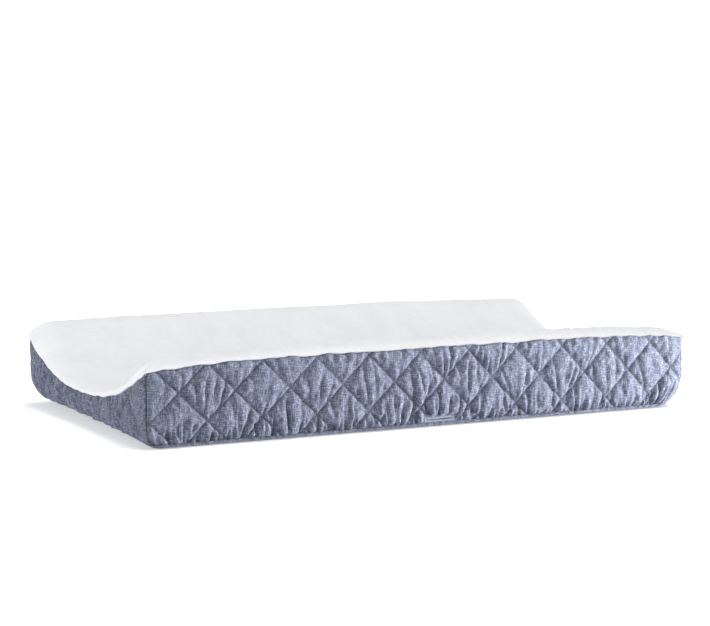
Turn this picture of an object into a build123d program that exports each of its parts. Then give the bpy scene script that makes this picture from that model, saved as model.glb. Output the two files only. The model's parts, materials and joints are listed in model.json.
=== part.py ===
from build123d import *
import os

# Contoured changing pad in its fitted cover: a foam pad in a wipe-clean skin, a cover with a plush
# top and quilted sides gathered under the pad by elastic, a two-part restraint belt stowed folded
# under the pad, and two anchor straps.
#
# Millimetres. X runs along the pad, Y across it and +Z up. The origin is on the floor, under the
# middle of the pad.

# --- driving dimensions ---------------------------------------------------------------------------
pad_length = 790.0
pad_width = 432.0
pad_height = 114.0
valley_height = 50.0  # top of the plush along the middle of the trough
seam_height = 104.0  # seam between plush and quilt on the long sides
crest_half = 192.0  # distance of each crest from the middle
crest_side = 14.0  # distance each side of a crest at which its rounding is set
crest_drop_in = 5.8  # fall of the crest's rounding towards the trough
crest_drop_out = 2.8  # and towards the seam
trough_ys = (0.0, 45.0, 90.0, 130.0, 164.0)  # where the trough's curve is taken
trough_half = 188.0  # half width at which the trough's curve would reach the full height
trough_power = 2.32
corner_radius = 12.0  # vertical corners, seen from above
least_corner_radius = 3.0  # of the innermost pieces
end_radius = 30.0  # lower edge of each end, seen from the side

plush = 3.5  # pile and backing of the top panel
face_cloth = 0.6  # woven outer cloth of the sides
quilt = 5.0  # face cloth, batting and lining together
lining_cloth = 0.4
cloth_gap = 0.2  # between neighbouring cloth pieces

pad_inset = 8.0  # skin of the inner pad, from the cover's outer face and from the floor
skin = 1.0  # wipe-clean sheet round the foam
skin_depth = 4.0  # top sheet, below the surface of the plush
foam_gap = 0.1

hem_lip = 5.2  # height of the visible hem band
hem_height = 7.6  # height of the hem where it is turned under the pad
hem_half_x = 335.0  # half length of the opening in the underside
hem_half_y = 172.0  # half width of the opening in the underside
hem_corner = 30.0
elastic_width = 6.4
elastic_thickness = 1.4
elastic_height = 3.6  # middle of the elastic above the floor
elastic_inset = 5.0  # from the hem's free edge to the elastic
elastic_clearance = 0.4

belt_x = 12.0  # middle of the restraint belt along the pad
belt_width = 38.0
webbing = 1.2  # thickness of belt and anchor straps
strap_hinge_z = 5.7  # stitch line where each strap turns down from its tab
belt_hinge_y = 150.0
belt_fold_y = 60.0  # inner fold of the stowed belt
belt_outer_fold_y = 140.0  # far enough in from the stitch line to clear the tab when swung out
fold_pitch = 2.0  # between the layers of the stowed belt
tab_z = (6.7, 7.9)  # sewn tabs, just under the pad
belt_tab_length = 20.0

slit_z = 9.7  # middle of each belt slit
slit_size = (41.4, 4.6)
slit_stitch_size = (45.0, 7.8)  # outside of the buttonhole stitching
slit_proud = 0.3
slit_outer_radius = 2.0
slit_inner_radius = 1.0

buckle_x = 46.0
buckle_z = (0.4, 7.2)  # bottom and top of both buckle halves
buckle_middle_z = sum(buckle_z) / 2
buckle_bar_y = 45.0
buckle_bar_radius = 1.5
buckle_body_y = 41.4  # end of each moulded body next to its webbing bar
buckle_rail = 2.6
buckle_rail_end_y = 48.0
bar_loop_radius = 2.4  # webbing round the bar, at the middle of its thickness
belt_loop_middle_z = strap_hinge_z - 2 * fold_pitch + bar_loop_radius
sewn_tail = 8.0
mouth_y = 4.0  # open end of the socket
socket_depth = 29.0
socket_width = 38.0
socket_height = 4.4
window_y = (13.0, 25.0)  # side windows of the socket, where the arms snap out
plug_block_y = 31.0
tongue_tip_y = 7.0
tongue_width = 12.0
tongue_thickness = 3.4
tongue_chamfer = 2.0
socket_corner = 4.0
plug_corner = 2.0
joint_overlap = 1.0  # how far the rails and the tongue run into the moulded body
arm_thickness = 3.6
arm_pivot = (15.5, 30.0)  # from the belt's middle line, and along it
arm_root_radius = 2.0
arm_clearance = 0.3
arm_pocket_height = 4.6
arm_outline = [(13.8, 30.0), (17.2, 30.0), (17.8, 22.0), (21.8, 20.0), (21.8, 13.0), (18.6, 7.0),
               (15.4, 6.0), (14.2, 9.0), (14.6, 20.0)]

anchor_width = 25.0
anchor_hinge_x = 160.0
anchor_bend_x = (172.0, 198.0)  # the strap slopes down between these
anchor_bend_radius = 12.0
anchor_hole_x = 300.0
anchor_end_x = 318.0
anchor_low_z = 1.8  # middle of the strap where it lies flat
anchor_tab_length = 30.0
screw_hole_radius = 2.75
eyelet_barrel_radius = 4.0
eyelet_flange_radius = 7.0
eyelet_clearance = 0.3
eyelet_flange = 0.7
eyelet_groove = 1.4  # between the eyelet's two flanges, round the webbing

half_length = pad_length / 2
half_width = pad_width / 2
margin = 10.0  # how far cutting shapes stand outside the pad
seam_reach = 110.0  # how far in from each corner the split between two sides runs

os.makedirs("parts", exist_ok=True)


def finish(piece, name):
    """Label a piece and write its STEP file."""
    piece.part.label = name
    export_step(piece.part, f"parts/{name}.step")


# --- shared shapes --------------------------------------------------------------------------------
def trough_height(y):
    """Height of the plush across the trough, up to the start of the crests."""
    return valley_height + (pad_height - valley_height) * (abs(y) / trough_half) ** trough_power


def crown_points(depth):
    """Points across the top of the pad, moved down into it by depth along their normals."""
    half = [(y, trough_height(y)) for y in trough_ys]
    half += [(crest_half - crest_side, pad_height - crest_drop_in), (crest_half, pad_height)]
    half += [(crest_half + crest_side, pad_height - crest_drop_out), (half_width, seam_height)]
    knots = [(-y, z) for y, z in reversed(half[1:])] + half
    points = [(depth - half_width, seam_height)]
    for before, here, after in zip(knots, knots[1:], knots[2:]):
        run = (Vector(*after) - Vector(*before)).normalized()
        points.append((here[0] + run.Y * depth, here[1] - run.X * depth))
    return points + [(half_width - depth, seam_height)]


def under_crown(depth):
    """Everything below the crown surface at a depth."""
    with BuildPart() as block:
        with BuildSketch(Plane.YZ):
            with BuildLine():
                top = Spline(*crown_points(depth))
                Polyline(top @ 1, ((top @ 1).X, 0), ((top @ 0).X, 0), top @ 0)
            make_face()
        extrude(amount=half_length + margin, both=True)
    return block.part


def crown_sheet(outer, inner):
    """The sheet between two depths below the crown surface."""
    with BuildPart() as block:
        with BuildSketch(Plane.YZ):
            with BuildLine():
                above = Spline(*crown_points(outer))
                below = Spline(*crown_points(inner))
                Line(above @ 0, below @ 0)
                Line(above @ 1, below @ 1)
            make_face()
        extrude(amount=half_length + margin, both=True)
    return block.part


def envelope(inset):
    """The pad's outline, moved inwards by inset at the sides, the ends and the floor."""
    length, width = pad_length - 2 * inset, pad_width - 2 * inset
    with BuildPart() as block:
        with BuildSketch(Plane.XY.offset(inset)):
            RectangleRounded(length, width, max(corner_radius - inset, least_corner_radius))
        extrude(amount=pad_height + margin)
        with BuildSketch(Plane.XZ):
            with Locations((0, inset)):
                Rectangle(length, pad_height + margin, align=(Align.CENTER, Align.MIN))
            fillet(vertices().group_by(Axis.Y)[0], radius=end_radius - inset)
        extrude(amount=half_width + margin, both=True, mode=Mode.INTERSECT)
    return block.part


def side_wedge(side, low, high):
    """The part of the pad nearest one side, split from its neighbours through the corner seams."""
    out_x, out_y = half_length + margin, half_width + margin
    in_x, in_y = half_length - seam_reach, half_width - seam_reach
    outlines = {
        "front": [(-out_x, -out_y), (out_x, -out_y), (in_x, -in_y), (-in_x, -in_y)],
        "back": [(-out_x, out_y), (-in_x, in_y), (in_x, in_y), (out_x, out_y)],
        "left": [(-out_x, -out_y), (-in_x, -in_y), (-in_x, in_y), (-out_x, out_y)],
        "right": [(out_x, -out_y), (out_x, out_y), (in_x, in_y), (in_x, -in_y)],
    }
    with BuildPart() as block:
        with BuildSketch(Plane.XY.offset(low)):
            with BuildLine():
                Polyline(*outlines[side], close=True)
            make_face()
        extrude(amount=high - low)
    return block.part


# --- cover: plush top -----------------------------------------------------------------------------
with BuildPart() as cover_top_panel:
    add(crown_sheet(0.0, plush))
    add(envelope(0.0), mode=Mode.INTERSECT)
finish(cover_top_panel, "cover_top_panel")


# --- cover: quilted sides, each a woven face, a batting and a lining --------------------------------
layers = {
    "face": (0.0, face_cloth),
    "batting": (face_cloth, quilt - lining_cloth),
    "lining": (quilt - lining_cloth, quilt),
}
for side in ("front", "back", "left", "right"):
    for layer, (outer, inner) in layers.items():
        with BuildPart() as side_layer:
            add(envelope(outer))
            add(envelope(inner), mode=Mode.SUBTRACT)
            long_side = side in ("front", "back")
            top = seam_height - cloth_gap if long_side else pad_height
            add(side_wedge(side, hem_lip + cloth_gap, top), mode=Mode.INTERSECT)
            if long_side:
                with BuildSketch(Plane.XZ):
                    with Locations((belt_x, slit_z)):
                        RectangleRounded(*slit_stitch_size, slit_outer_radius)
                extrude(amount=half_width + margin, both=True, mode=Mode.SUBTRACT)
            else:
                add(under_crown(plush + cloth_gap), mode=Mode.INTERSECT)
        finish(side_layer, f"{side}_panel_{layer}")


# --- cover: buttonhole stitching round the two belt slits -------------------------------------------
for side, sign in (("front", -1), ("back", 1)):
    with BuildPart() as slit_stitching:
        with BuildSketch(Plane.XZ.offset(-sign * (half_width - quilt))):
            with Locations((belt_x, slit_z)):
                RectangleRounded(*slit_stitch_size, slit_outer_radius)
                RectangleRounded(*slit_size, slit_inner_radius, mode=Mode.SUBTRACT)
        extrude(amount=-sign * (quilt + slit_proud))
    finish(slit_stitching, f"{side}_belt_slit_stitching")


# --- cover: hem turned under the pad, with the elastic inside it -------------------------------------
def hem_outline(grow, mode=Mode.ADD):
    """The opening in the underside, grown outwards."""
    length, width = 2 * (hem_half_x + grow), 2 * (hem_half_y + grow)
    return RectangleRounded(length, width, hem_corner + grow, mode=mode)


def elastic_ring(height, clearance):
    """A flat band round the hem, with a clearance all round its section."""
    with BuildPart() as ring:
        with BuildSketch(Plane.XY.offset(elastic_height - height / 2)):
            hem_outline(elastic_inset + elastic_width + clearance)
            hem_outline(elastic_inset - clearance, mode=Mode.SUBTRACT)
        extrude(amount=height)
    return ring.part


channel = elastic_ring(elastic_thickness + 2 * elastic_clearance, elastic_clearance)
for side in ("front", "back", "left", "right"):
    with BuildPart() as turned_hem:
        add(envelope(hem_lip))
        add(side_wedge(side, hem_lip, hem_height), mode=Mode.INTERSECT)
    with BuildPart() as hem:
        add(envelope(0.0))
        add(side_wedge(side, 0.0, hem_lip), mode=Mode.INTERSECT)
        add(turned_hem.part)
        with BuildSketch():
            hem_outline(0.0)
        extrude(amount=hem_height, mode=Mode.SUBTRACT)
        add(channel, mode=Mode.SUBTRACT)
    finish(hem, f"{side}_hem")

with BuildPart() as hem_elastic:
    add(elastic_ring(elastic_thickness, 0.0))
finish(hem_elastic, "hem_elastic")


# --- inner pad: foam in a wipe-clean skin -----------------------------------------------------------
foam_inset = pad_inset + skin + foam_gap
foam_depth = skin_depth + skin + foam_gap

with BuildPart() as foam_core:
    add(envelope(foam_inset))
    add(under_crown(foam_depth), mode=Mode.INTERSECT)
finish(foam_core, "foam_core")

with BuildPart() as inner_top_sheet:
    add(crown_sheet(skin_depth, skin_depth + skin))
    add(envelope(pad_inset), mode=Mode.INTERSECT)
finish(inner_top_sheet, "inner_top_sheet")

for side in ("front", "back", "left", "right"):
    with BuildPart() as boxing:
        add(envelope(pad_inset))
        add(envelope(pad_inset + skin), mode=Mode.SUBTRACT)
        wedge = side_wedge(side, pad_inset + skin + foam_gap, pad_height)
        add(wedge, mode=Mode.INTERSECT)
        add(under_crown(foam_depth), mode=Mode.INTERSECT)
    finish(boxing, f"inner_{side}_boxing")

with BuildPart() as base_panel:
    add(envelope(pad_inset))
    with Locations((0, 0, pad_inset)):
        slab_z = (Align.CENTER, Align.CENTER, Align.MIN)
        Box(pad_length, pad_width, skin, align=slab_z, mode=Mode.INTERSECT)
finish(base_panel, "base_panel")


# --- restraint belt ---------------------------------------------------------------------------------
def strap_end(sign, hinge):
    """The rounded end of a strap at its stitch line."""
    with Locations((sign * hinge, strap_hinge_z)):
        Circle(webbing / 2)


def belt_route(sign):
    """Middle line of one stowed belt half: out from its tab, folded twice, then round the bar."""
    turn = fold_pitch / 2
    levels = [strap_hinge_z - fold_pitch * layer for layer in range(3)]
    loop_top = levels[2] + 2 * bar_loop_radius
    first = Line((sign * belt_hinge_y, levels[0]), (sign * belt_fold_y, levels[0]))
    inner = ThreePointArc(
        first @ 1, (sign * (belt_fold_y - turn), levels[0] - turn), (sign * belt_fold_y, levels[1])
    )
    second = Line(inner @ 1, (sign * belt_outer_fold_y, levels[1]))
    outer = ThreePointArc(
        second @ 1,
        (sign * (belt_outer_fold_y + turn), levels[1] - turn),
        (sign * belt_outer_fold_y, levels[2]),
    )
    third = Line(outer @ 1, (sign * buckle_bar_y, levels[2]))
    loop = ThreePointArc(
        third @ 1,
        (sign * (buckle_bar_y - bar_loop_radius), levels[2] + bar_loop_radius),
        (sign * buckle_bar_y, loop_top),
    )
    Line(loop @ 1, (sign * (buckle_bar_y + sewn_tail), loop_top))


def bar_rails(sign):
    """The webbing bar of a buckle half and the two rails that hold it."""
    low, high = buckle_z
    rail_middle = (buckle_rail_end_y + buckle_body_y) / 2
    for side_x in (-1, 1):
        rail_x = belt_x + side_x * (buckle_x - buckle_rail) / 2
        with Locations((rail_x, sign * rail_middle, (low + high) / 2)):
            Box(buckle_rail, buckle_rail_end_y - buckle_body_y + joint_overlap, high - low)
    with Locations((belt_x, sign * buckle_bar_y, belt_loop_middle_z)):
        Cylinder(buckle_bar_radius, buckle_x - buckle_rail, rotation=(0, 90, 0))


for side, sign in (("front", -1), ("back", 1)):
    with BuildPart() as belt:
        with BuildSketch(Plane.YZ.offset(belt_x)):
            with BuildLine():
                belt_route(sign)
            trace(line_width=webbing)
            strap_end(sign, belt_hinge_y)
        extrude(amount=belt_width / 2, both=True)
    finish(belt, f"{side}_belt_webbing")

    with BuildPart() as tab:
        with Locations((belt_x, sign * (belt_hinge_y + belt_tab_length / 2), sum(tab_z) / 2)):
            Box(belt_width, belt_tab_length, tab_z[1] - tab_z[0])
    finish(tab, f"{side}_belt_tab")

with BuildPart() as buckle_socket:
    with BuildSketch(Plane.XY.offset(buckle_z[0])):
        with Locations((belt_x, -(buckle_body_y + mouth_y) / 2)):
            RectangleRounded(buckle_x, buckle_body_y - mouth_y, socket_corner)
    extrude(amount=buckle_z[1] - buckle_z[0])
    with Locations((belt_x, -(mouth_y + socket_depth / 2), buckle_middle_z)):
        Box(socket_width, socket_depth, socket_height, mode=Mode.SUBTRACT)
    with Locations((belt_x, -(window_y[0] + window_y[1]) / 2, buckle_middle_z)):
        Box(buckle_x + margin, window_y[1] - window_y[0], socket_height, mode=Mode.SUBTRACT)
    bar_rails(-1)
finish(buckle_socket, "buckle_socket")

with BuildPart() as buckle_plug:
    with BuildSketch(Plane.XY.offset(buckle_z[0])):
        with Locations((belt_x, (buckle_body_y + plug_block_y) / 2)):
            RectangleRounded(buckle_x, buckle_body_y - plug_block_y, plug_corner)
    extrude(amount=buckle_z[1] - buckle_z[0])
    with BuildSketch(Plane.XY.offset(buckle_middle_z - tongue_thickness / 2)):
        with Locations((belt_x, (plug_block_y + tongue_tip_y) / 2)):
            Rectangle(tongue_width, plug_block_y - tongue_tip_y + joint_overlap)
        chamfer(vertices().group_by(Axis.Y)[0], length=tongue_chamfer)
    extrude(amount=tongue_thickness)
    for side_x in (-1, 1):
        with Locations((belt_x + side_x * arm_pivot[0], arm_pivot[1], buckle_middle_z)):
            Cylinder(arm_root_radius + arm_clearance, arm_pocket_height, mode=Mode.SUBTRACT)
    bar_rails(1)
finish(buckle_plug, "buckle_plug")

for side, side_x in (("left", -1), ("right", 1)):
    with BuildPart() as arm:
        with BuildSketch(Plane.XY.offset(buckle_middle_z - arm_thickness / 2)):
            with BuildLine():
                outline = [(belt_x + side_x * x, y) for x, y in arm_outline]
                Polyline(*outline, close=True)
            make_face()
            with Locations((belt_x + side_x * arm_pivot[0], arm_pivot[1])):
                Circle(arm_root_radius)
        extrude(amount=arm_thickness)
    finish(arm, f"buckle_{side}_arm")


# --- anchor straps ----------------------------------------------------------------------------------
for side, sign in (("left", -1), ("right", 1)):
    with BuildPart() as strap:
        with BuildSketch(Plane.XZ):
            with BuildLine():
                FilletPolyline(
                    (sign * anchor_hinge_x, strap_hinge_z),
                    (sign * anchor_bend_x[0], strap_hinge_z),
                    (sign * anchor_bend_x[1], anchor_low_z),
                    (sign * anchor_end_x, anchor_low_z),
                    radius=anchor_bend_radius,
                )
            trace(line_width=webbing)
            strap_end(sign, anchor_hinge_x)
        extrude(amount=anchor_width / 2, both=True)
        with BuildSketch():
            with Locations((sign * anchor_hole_x, 0)):
                Circle(eyelet_barrel_radius + eyelet_clearance)
        extrude(amount=pad_inset, mode=Mode.SUBTRACT)
    finish(strap, f"{side}_anchor_webbing")

    with BuildPart() as tab:
        with Locations((sign * (anchor_hinge_x - anchor_tab_length / 2), 0, sum(tab_z) / 2)):
            Box(anchor_tab_length, anchor_width, tab_z[1] - tab_z[0])
    finish(tab, f"{side}_anchor_tab")

    with BuildPart() as eyelet:
        flange_middle = (eyelet_groove + eyelet_flange) / 2
        with Locations((sign * anchor_hole_x, 0, anchor_low_z)):
            Cylinder(eyelet_barrel_radius, eyelet_groove)
            with Locations((0, 0, -flange_middle), (0, 0, flange_middle)):
                Cylinder(eyelet_flange_radius, eyelet_flange)
            Cylinder(screw_hole_radius, pad_inset, mode=Mode.SUBTRACT)
    finish(eyelet, f"{side}_anchor_eyelet")
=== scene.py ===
import json
import math

import bpy
import mathutils
import numpy as np
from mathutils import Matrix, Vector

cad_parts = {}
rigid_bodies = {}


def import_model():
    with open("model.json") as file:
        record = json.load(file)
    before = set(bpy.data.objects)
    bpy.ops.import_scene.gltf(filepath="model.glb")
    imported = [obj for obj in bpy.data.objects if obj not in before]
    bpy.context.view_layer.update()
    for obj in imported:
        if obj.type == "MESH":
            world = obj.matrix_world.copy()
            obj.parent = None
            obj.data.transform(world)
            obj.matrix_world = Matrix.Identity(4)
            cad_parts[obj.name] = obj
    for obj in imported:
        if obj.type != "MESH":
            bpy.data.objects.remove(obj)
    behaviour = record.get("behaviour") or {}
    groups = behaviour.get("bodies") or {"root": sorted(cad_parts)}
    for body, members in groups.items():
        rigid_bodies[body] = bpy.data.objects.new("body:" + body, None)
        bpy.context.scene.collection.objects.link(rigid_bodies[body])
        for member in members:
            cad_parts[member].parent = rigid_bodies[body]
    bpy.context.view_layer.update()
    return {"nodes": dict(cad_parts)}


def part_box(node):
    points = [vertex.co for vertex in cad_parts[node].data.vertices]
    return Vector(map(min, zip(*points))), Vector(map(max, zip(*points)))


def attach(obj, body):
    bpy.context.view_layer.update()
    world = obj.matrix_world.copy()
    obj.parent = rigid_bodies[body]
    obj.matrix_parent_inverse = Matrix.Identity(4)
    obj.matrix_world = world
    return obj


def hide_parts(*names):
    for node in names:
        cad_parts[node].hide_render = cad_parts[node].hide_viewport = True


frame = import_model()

# A contoured changing pad in its quilted cover. Shapes are worked out in millimetres, in the frame's
# own axes: X along the pad, Y across it and +Z up. Each mesh is written in metres.

MM = 0.001


def box_mm(node):
    """A node's lowest and highest corners, in millimetres."""
    low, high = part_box(node)
    return np.array(low) / MM, np.array(high) / MM


# --- sizes taken from the frame ---
TOP_LOW, TOP_HIGH = box_mm("cover_top_panel")
HALF_X, HALF_Y, CREST_Z = TOP_HIGH
PLUSH = 3.5
VALLEY_Z = TOP_LOW[2] + PLUSH
LIP_Z, SEAM_Z = (corner[2] for corner in box_mm("front_panel_face"))
BASE_Z = box_mm("base_panel")[0][2]
ELASTIC_EDGE = 11.4  # from the hem's free edge to the outer edge of its elastic
ELASTIC_WIDTH = 6.4
OPENING = box_mm("hem_elastic")[1][:2] - ELASTIC_EDGE
BELT_X = sum(corner[0] for corner in box_mm("front_belt_webbing")) / 2
SLIT_LOW, SLIT_HIGH = box_mm("front_belt_slit_stitching")
SLIT_Z = (SLIT_LOW[2] + SLIT_HIGH[2]) / 2
SATIN_WIDTH = (1.8, 1.6)  # of the stitching beside the slit and at its long edges
SLIT_HALF = (SLIT_HIGH - SLIT_LOW)[[0, 2]] / 2 - SATIN_WIDTH
SLIT_S = {"front": BELT_X, "back": -BELT_X}  # place of each slit along its side
SLIT_OUT = -1.2  # surface round a slit, from the outline

# --- shape of the cover ---
CORNER = 11.0  # vertical corners, seen from above
OPENING_CORNER = 30.0
END_SEAM_Z = 44.0  # lowest point of the seam on each end
SEAM_DROP = {"front": 9.0, "back": 7.0}  # fall of the long seams towards the corners
SEAM_WOBBLE = 0.55
CREST_DROP = {"front": 13.0, "back": 5.5}  # fall of the crests towards the ends
FAR_TWIST = 3.4  # the far crest's left end stands this much above the fall, and its right end below
TROUGH_POWER = 2.32
TROUGH_HALF = 188.0
LOWER_RADII = {"left": (20.0, 46.0), "right": (46.0, 34.0)}  # lower end edges, at front and back
LEFT_HOLLOW = 9.0  # the left end's lower edge is drawn in this much more between its corners
LONG_RADIUS = 4.0  # lower edge of the long sides
TUCK_REACH = 90.0  # how far from each end its lower edge is drawn in
LONG_TUCK_REACH = 20.0  # and from each long side
PITCH = 71.84  # quilting: 2 inch channels at 45 degrees

SIDES = ("front", "right", "back", "left")
LONG_SIDES = ("front", "back")
# along-side place of one crossing, its height, tilt of the rows, stretch along the side
QUILT = {
    "front": (20.0, 61.0, -0.0175, 0.005),
    "right": (-20.0, 59.0, 0.004, 0.0),
    "back": (-12.0, 60.0, 0.008, 0.0),
    "left": (16.0, 58.0, 0.006, 0.0),
}

# --- light, with places in metres ---
WORLD_LIGHT = 0.29
SUN_LIGHT = 2.05
SUN_SIZE = math.radians(40.0)
SUN_AZIMUTH = math.radians(60.0)  # from the front towards the right
SUN_ELEVATION = math.radians(72.0)
KEY_PLACE = (1.25, -0.8, 0.1)  # low, so that it rakes the quilting
KEY_SIZE = (0.4, 0.14)
KEY_POWER = 16.0
RAKE_POWER = 28.0  # a second lamp in the same place, kept off the right end
FILL_PLACE = (-1.6, 0.6, 0.3)
FILL_SIZE = (0.7, 0.4)
FILL_POWER = 3.5

# --- camera, at the photograph's view ---
CAMERA_AZIMUTH = -27.03
CAMERA_ELEVATION = 6.42
CAMERA_DISTANCE = 3.07
CAMERA_TARGET = (0.0, 0.0, 0.1255)
CAMERA_LENS = 114.4


# --- numbers ---
def smooth(t):
    """Smooth step from 0 to 1."""
    t = np.clip(t, 0.0, 1.0)
    return t * t * (3 - 2 * t)


def ripple(x, y, wavelength, seed, stretch=1.0):
    """Smooth noise between about -1 and 1, longer across y where stretch is over 1."""
    rng = np.random.default_rng(seed)
    total = np.zeros(np.broadcast(x, y).shape)
    waves = 18
    for _ in range(waves):
        angle = rng.uniform(0, 2 * math.pi)
        k = 2 * math.pi / wavelength * rng.uniform(0.6, 1.5)
        phase = rng.uniform(0, 2 * math.pi)
        total += np.sin(k * (x * math.cos(angle) + y * math.sin(angle) / stretch) + phase)
    return total / math.sqrt(waves / 2)


# --- the sides of the cover ---
def side_sizes(side, sizes=(HALF_X, HALF_Y)):
    """Half a side's run and its distance from the middle, as if its corners were square."""
    return sizes if side in LONG_SIDES else sizes[::-1]


def half_run(side):
    """Arc length from the middle of a side to its corner seam."""
    return side_sizes(side)[0] - CORNER + CORNER * math.pi / 4


def rounded_side(side, sizes, radius, s, out=0.0):
    """Points at s along one side of a round-cornered rectangle, out from it, seen from above."""
    half, depth = sizes
    flat = half - radius
    turn = np.clip((np.abs(s) - flat) / radius, 0.0, None)
    x = np.sign(s) * (np.minimum(np.abs(s), flat) + (radius + out) * np.sin(turn))
    y = -(depth - radius) - (radius + out) * np.cos(turn)
    for _ in range(SIDES.index(side)):
        x, y = -y, x
    return x, y


def outline(side, s, out):
    """Points at s along a side, out from the cover's outline."""
    return rounded_side(side, side_sizes(side), CORNER, s, out)


def opening_outline(side, f):
    """Points round the opening in the underside; f runs from -1 to 1 between two corners."""
    sizes = side_sizes(side, OPENING)
    s = f * (sizes[0] - OPENING_CORNER + OPENING_CORNER * math.pi / 4)
    return rounded_side(side, sizes, OPENING_CORNER, s)


def tuck(x, y, z):
    """Draw the lower edges of the cover in, as its elastic does."""
    across = (y / HALF_Y + 1) / 2
    front, back = (np.where(x < 0, *radii) for radii in zip(LOWER_RADII["left"], LOWER_RADII["right"]))
    hollow = np.where(x < 0, 4 * LEFT_HOLLOW * across * (1 - across), 0.0)
    radius = front + (back - front) * across + hollow
    low = np.clip(radius - z, 0.0, radius)
    pull = radius - np.sqrt(radius**2 - low**2)
    weight = smooth((np.abs(x) - HALF_X + TUCK_REACH) / TUCK_REACH)
    low_y = np.clip(LONG_RADIUS - z, 0.0, LONG_RADIUS)
    pull_y = LONG_RADIUS - np.sqrt(LONG_RADIUS**2 - low_y**2)
    weight_y = smooth((np.abs(y) - HALF_Y + LONG_TUCK_REACH) / LONG_TUCK_REACH)
    return x - np.sign(x) * pull * weight, y - np.sign(y) * pull_y * weight_y


def corner_height(side, s):
    """Height of the seam at the corner that s runs towards."""
    if side in LONG_SIDES:
        return SEAM_Z - SEAM_DROP[side]
    towards_front = (s > 0) if side == "left" else (s < 0)
    return SEAM_Z - np.where(towards_front, SEAM_DROP["front"], SEAM_DROP["back"])


def seam_height(side, s):
    """Height of the seam between the plush and a side."""
    f = np.abs(s) / half_run(side)
    fade = np.clip((1 - f) * 12.0, 0.0, 1.0)
    wobble = SEAM_WOBBLE * fade * (ripple(s, 0 * s, 34.0, 31) - 0.6 * np.abs(ripple(s, 0 * s, 17.0, 32)))
    if side in LONG_SIDES:
        return SEAM_Z - SEAM_DROP[side] * f**6 + wobble
    return END_SEAM_Z + wobble + (corner_height(side, s) - END_SEAM_Z) * f**TROUGH_POWER


def quilt_cells(side, s, z):
    """Places across the rising and the falling lines of quilting, which lie at whole numbers."""
    phase, middle, tilt, stretch = QUILT[side]
    cells = (s - phase) / PITCH
    along = cells + stretch * cells**2
    up = (z - middle - tilt * s) / PITCH
    return along + up, along - up


def stitch_distance(side, s, z):
    """Distance to the nearest line of quilting."""
    return np.minimum(*(np.abs(u - np.round(u)) for u in quilt_cells(side, s, z))) * PITCH / math.sqrt(2)


# --- cloth simulation of the quilted sides ---
SIM_STEP = 2.4
SIM_FRAMES = 30
PIN_REACH = 1.7  # points this near a stitch line are held by it
SIM_SCALE = 0.01  # the simulation runs in units of 100 mm


def grid_faces(rows, columns):
    """Faces of a grid of points, as index rows."""
    index = np.arange(rows * columns).reshape(rows, columns)
    quads = [index[:-1, :-1], index[:-1, 1:], index[1:, 1:], index[1:, :-1]]
    return np.stack(quads, -1).reshape(-1, 4)


def blurred(values, sigma):
    """Gaussian blur of a grid by sigma cells."""
    reach = int(3 * sigma + 1)
    weights = np.exp(-0.5 * (np.arange(-reach, reach + 1) / sigma) ** 2)
    weights /= weights.sum()
    for axis in (0, 1):
        margins = [(0, 0)] * values.ndim
        margins[axis] = (reach, reach)
        wide = np.pad(values, margins, mode="edge")
        size = values.shape[axis]
        values = sum(w * np.take(wide, range(k, k + size), axis) for k, w in enumerate(weights))
    return values


def simulate_side(side, seed):
    """Blow up a flat quilted sheet between its stitch lines, and return how far each point moves."""
    run = half_run(side)
    columns = int(round(2 * run / SIM_STEP)) + 1
    rows = int(round((SEAM_Z - LIP_Z) / SIM_STEP)) + 1
    s = np.linspace(-run, run, columns)[None, :].repeat(rows, 0)
    v = np.linspace(0.0, 1.0, rows)[:, None]
    z = LIP_Z + v * (seam_height(side, s) - LIP_Z)
    distance = stitch_distance(side, s, z)
    start = 0.8 * (1 - np.exp(-distance / 6.0)) + 0.15 * ripple(s, z, 12.0, seed, 2.0)
    mesh = bpy.data.meshes.new("sim")
    points = np.stack([s, z, start], -1).reshape(-1, 3) * SIM_SCALE
    mesh.from_pydata(points.tolist(), [], grid_faces(rows, columns).tolist())
    sheet = bpy.data.objects.new("sim", mesh)
    bpy.context.collection.objects.link(sheet)

    held = (distance < PIN_REACH) | (v <= 0.0) | (v >= 1.0)
    held[:, 0] = held[:, -1] = True
    pins = sheet.vertex_groups.new(name="pins")
    pins.add(np.flatnonzero(held.reshape(-1)).tolist(), 1.0, "REPLACE")

    cloth = sheet.modifiers.new("Cloth", "CLOTH")
    settings = cloth.settings
    settings.vertex_group_mass = "pins"
    settings.shrink_min = -0.04  # the cloth is this much larger than the space between its stitches
    settings.quality = 6
    settings.mass = 0.1
    settings.tension_stiffness = settings.compression_stiffness = 15.0
    settings.shear_stiffness = 5.0
    settings.bending_stiffness = 15.0
    settings.tension_damping = settings.compression_damping = 5.0
    settings.effector_weights.gravity = 0.0
    settings.use_pressure = True
    settings.uniform_pressure_force = 5.0
    scene = bpy.context.scene
    cloth.point_cache.frame_start, cloth.point_cache.frame_end = 1, SIM_FRAMES
    for frame_number in range(1, SIM_FRAMES + 1):
        scene.frame_set(frame_number)
    ready = sheet.evaluated_get(bpy.context.evaluated_depsgraph_get()).data
    moved = np.empty(rows * columns * 3, np.float32)
    ready.vertices.foreach_get("co", moved)
    scene.frame_set(1)
    bpy.data.objects.remove(sheet)
    moved = moved.reshape(rows, columns, 3).astype(float) / SIM_SCALE
    return blurred(np.stack([moved[..., 0] - s, moved[..., 1] - z, moved[..., 2]], -1), 0.8)


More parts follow.
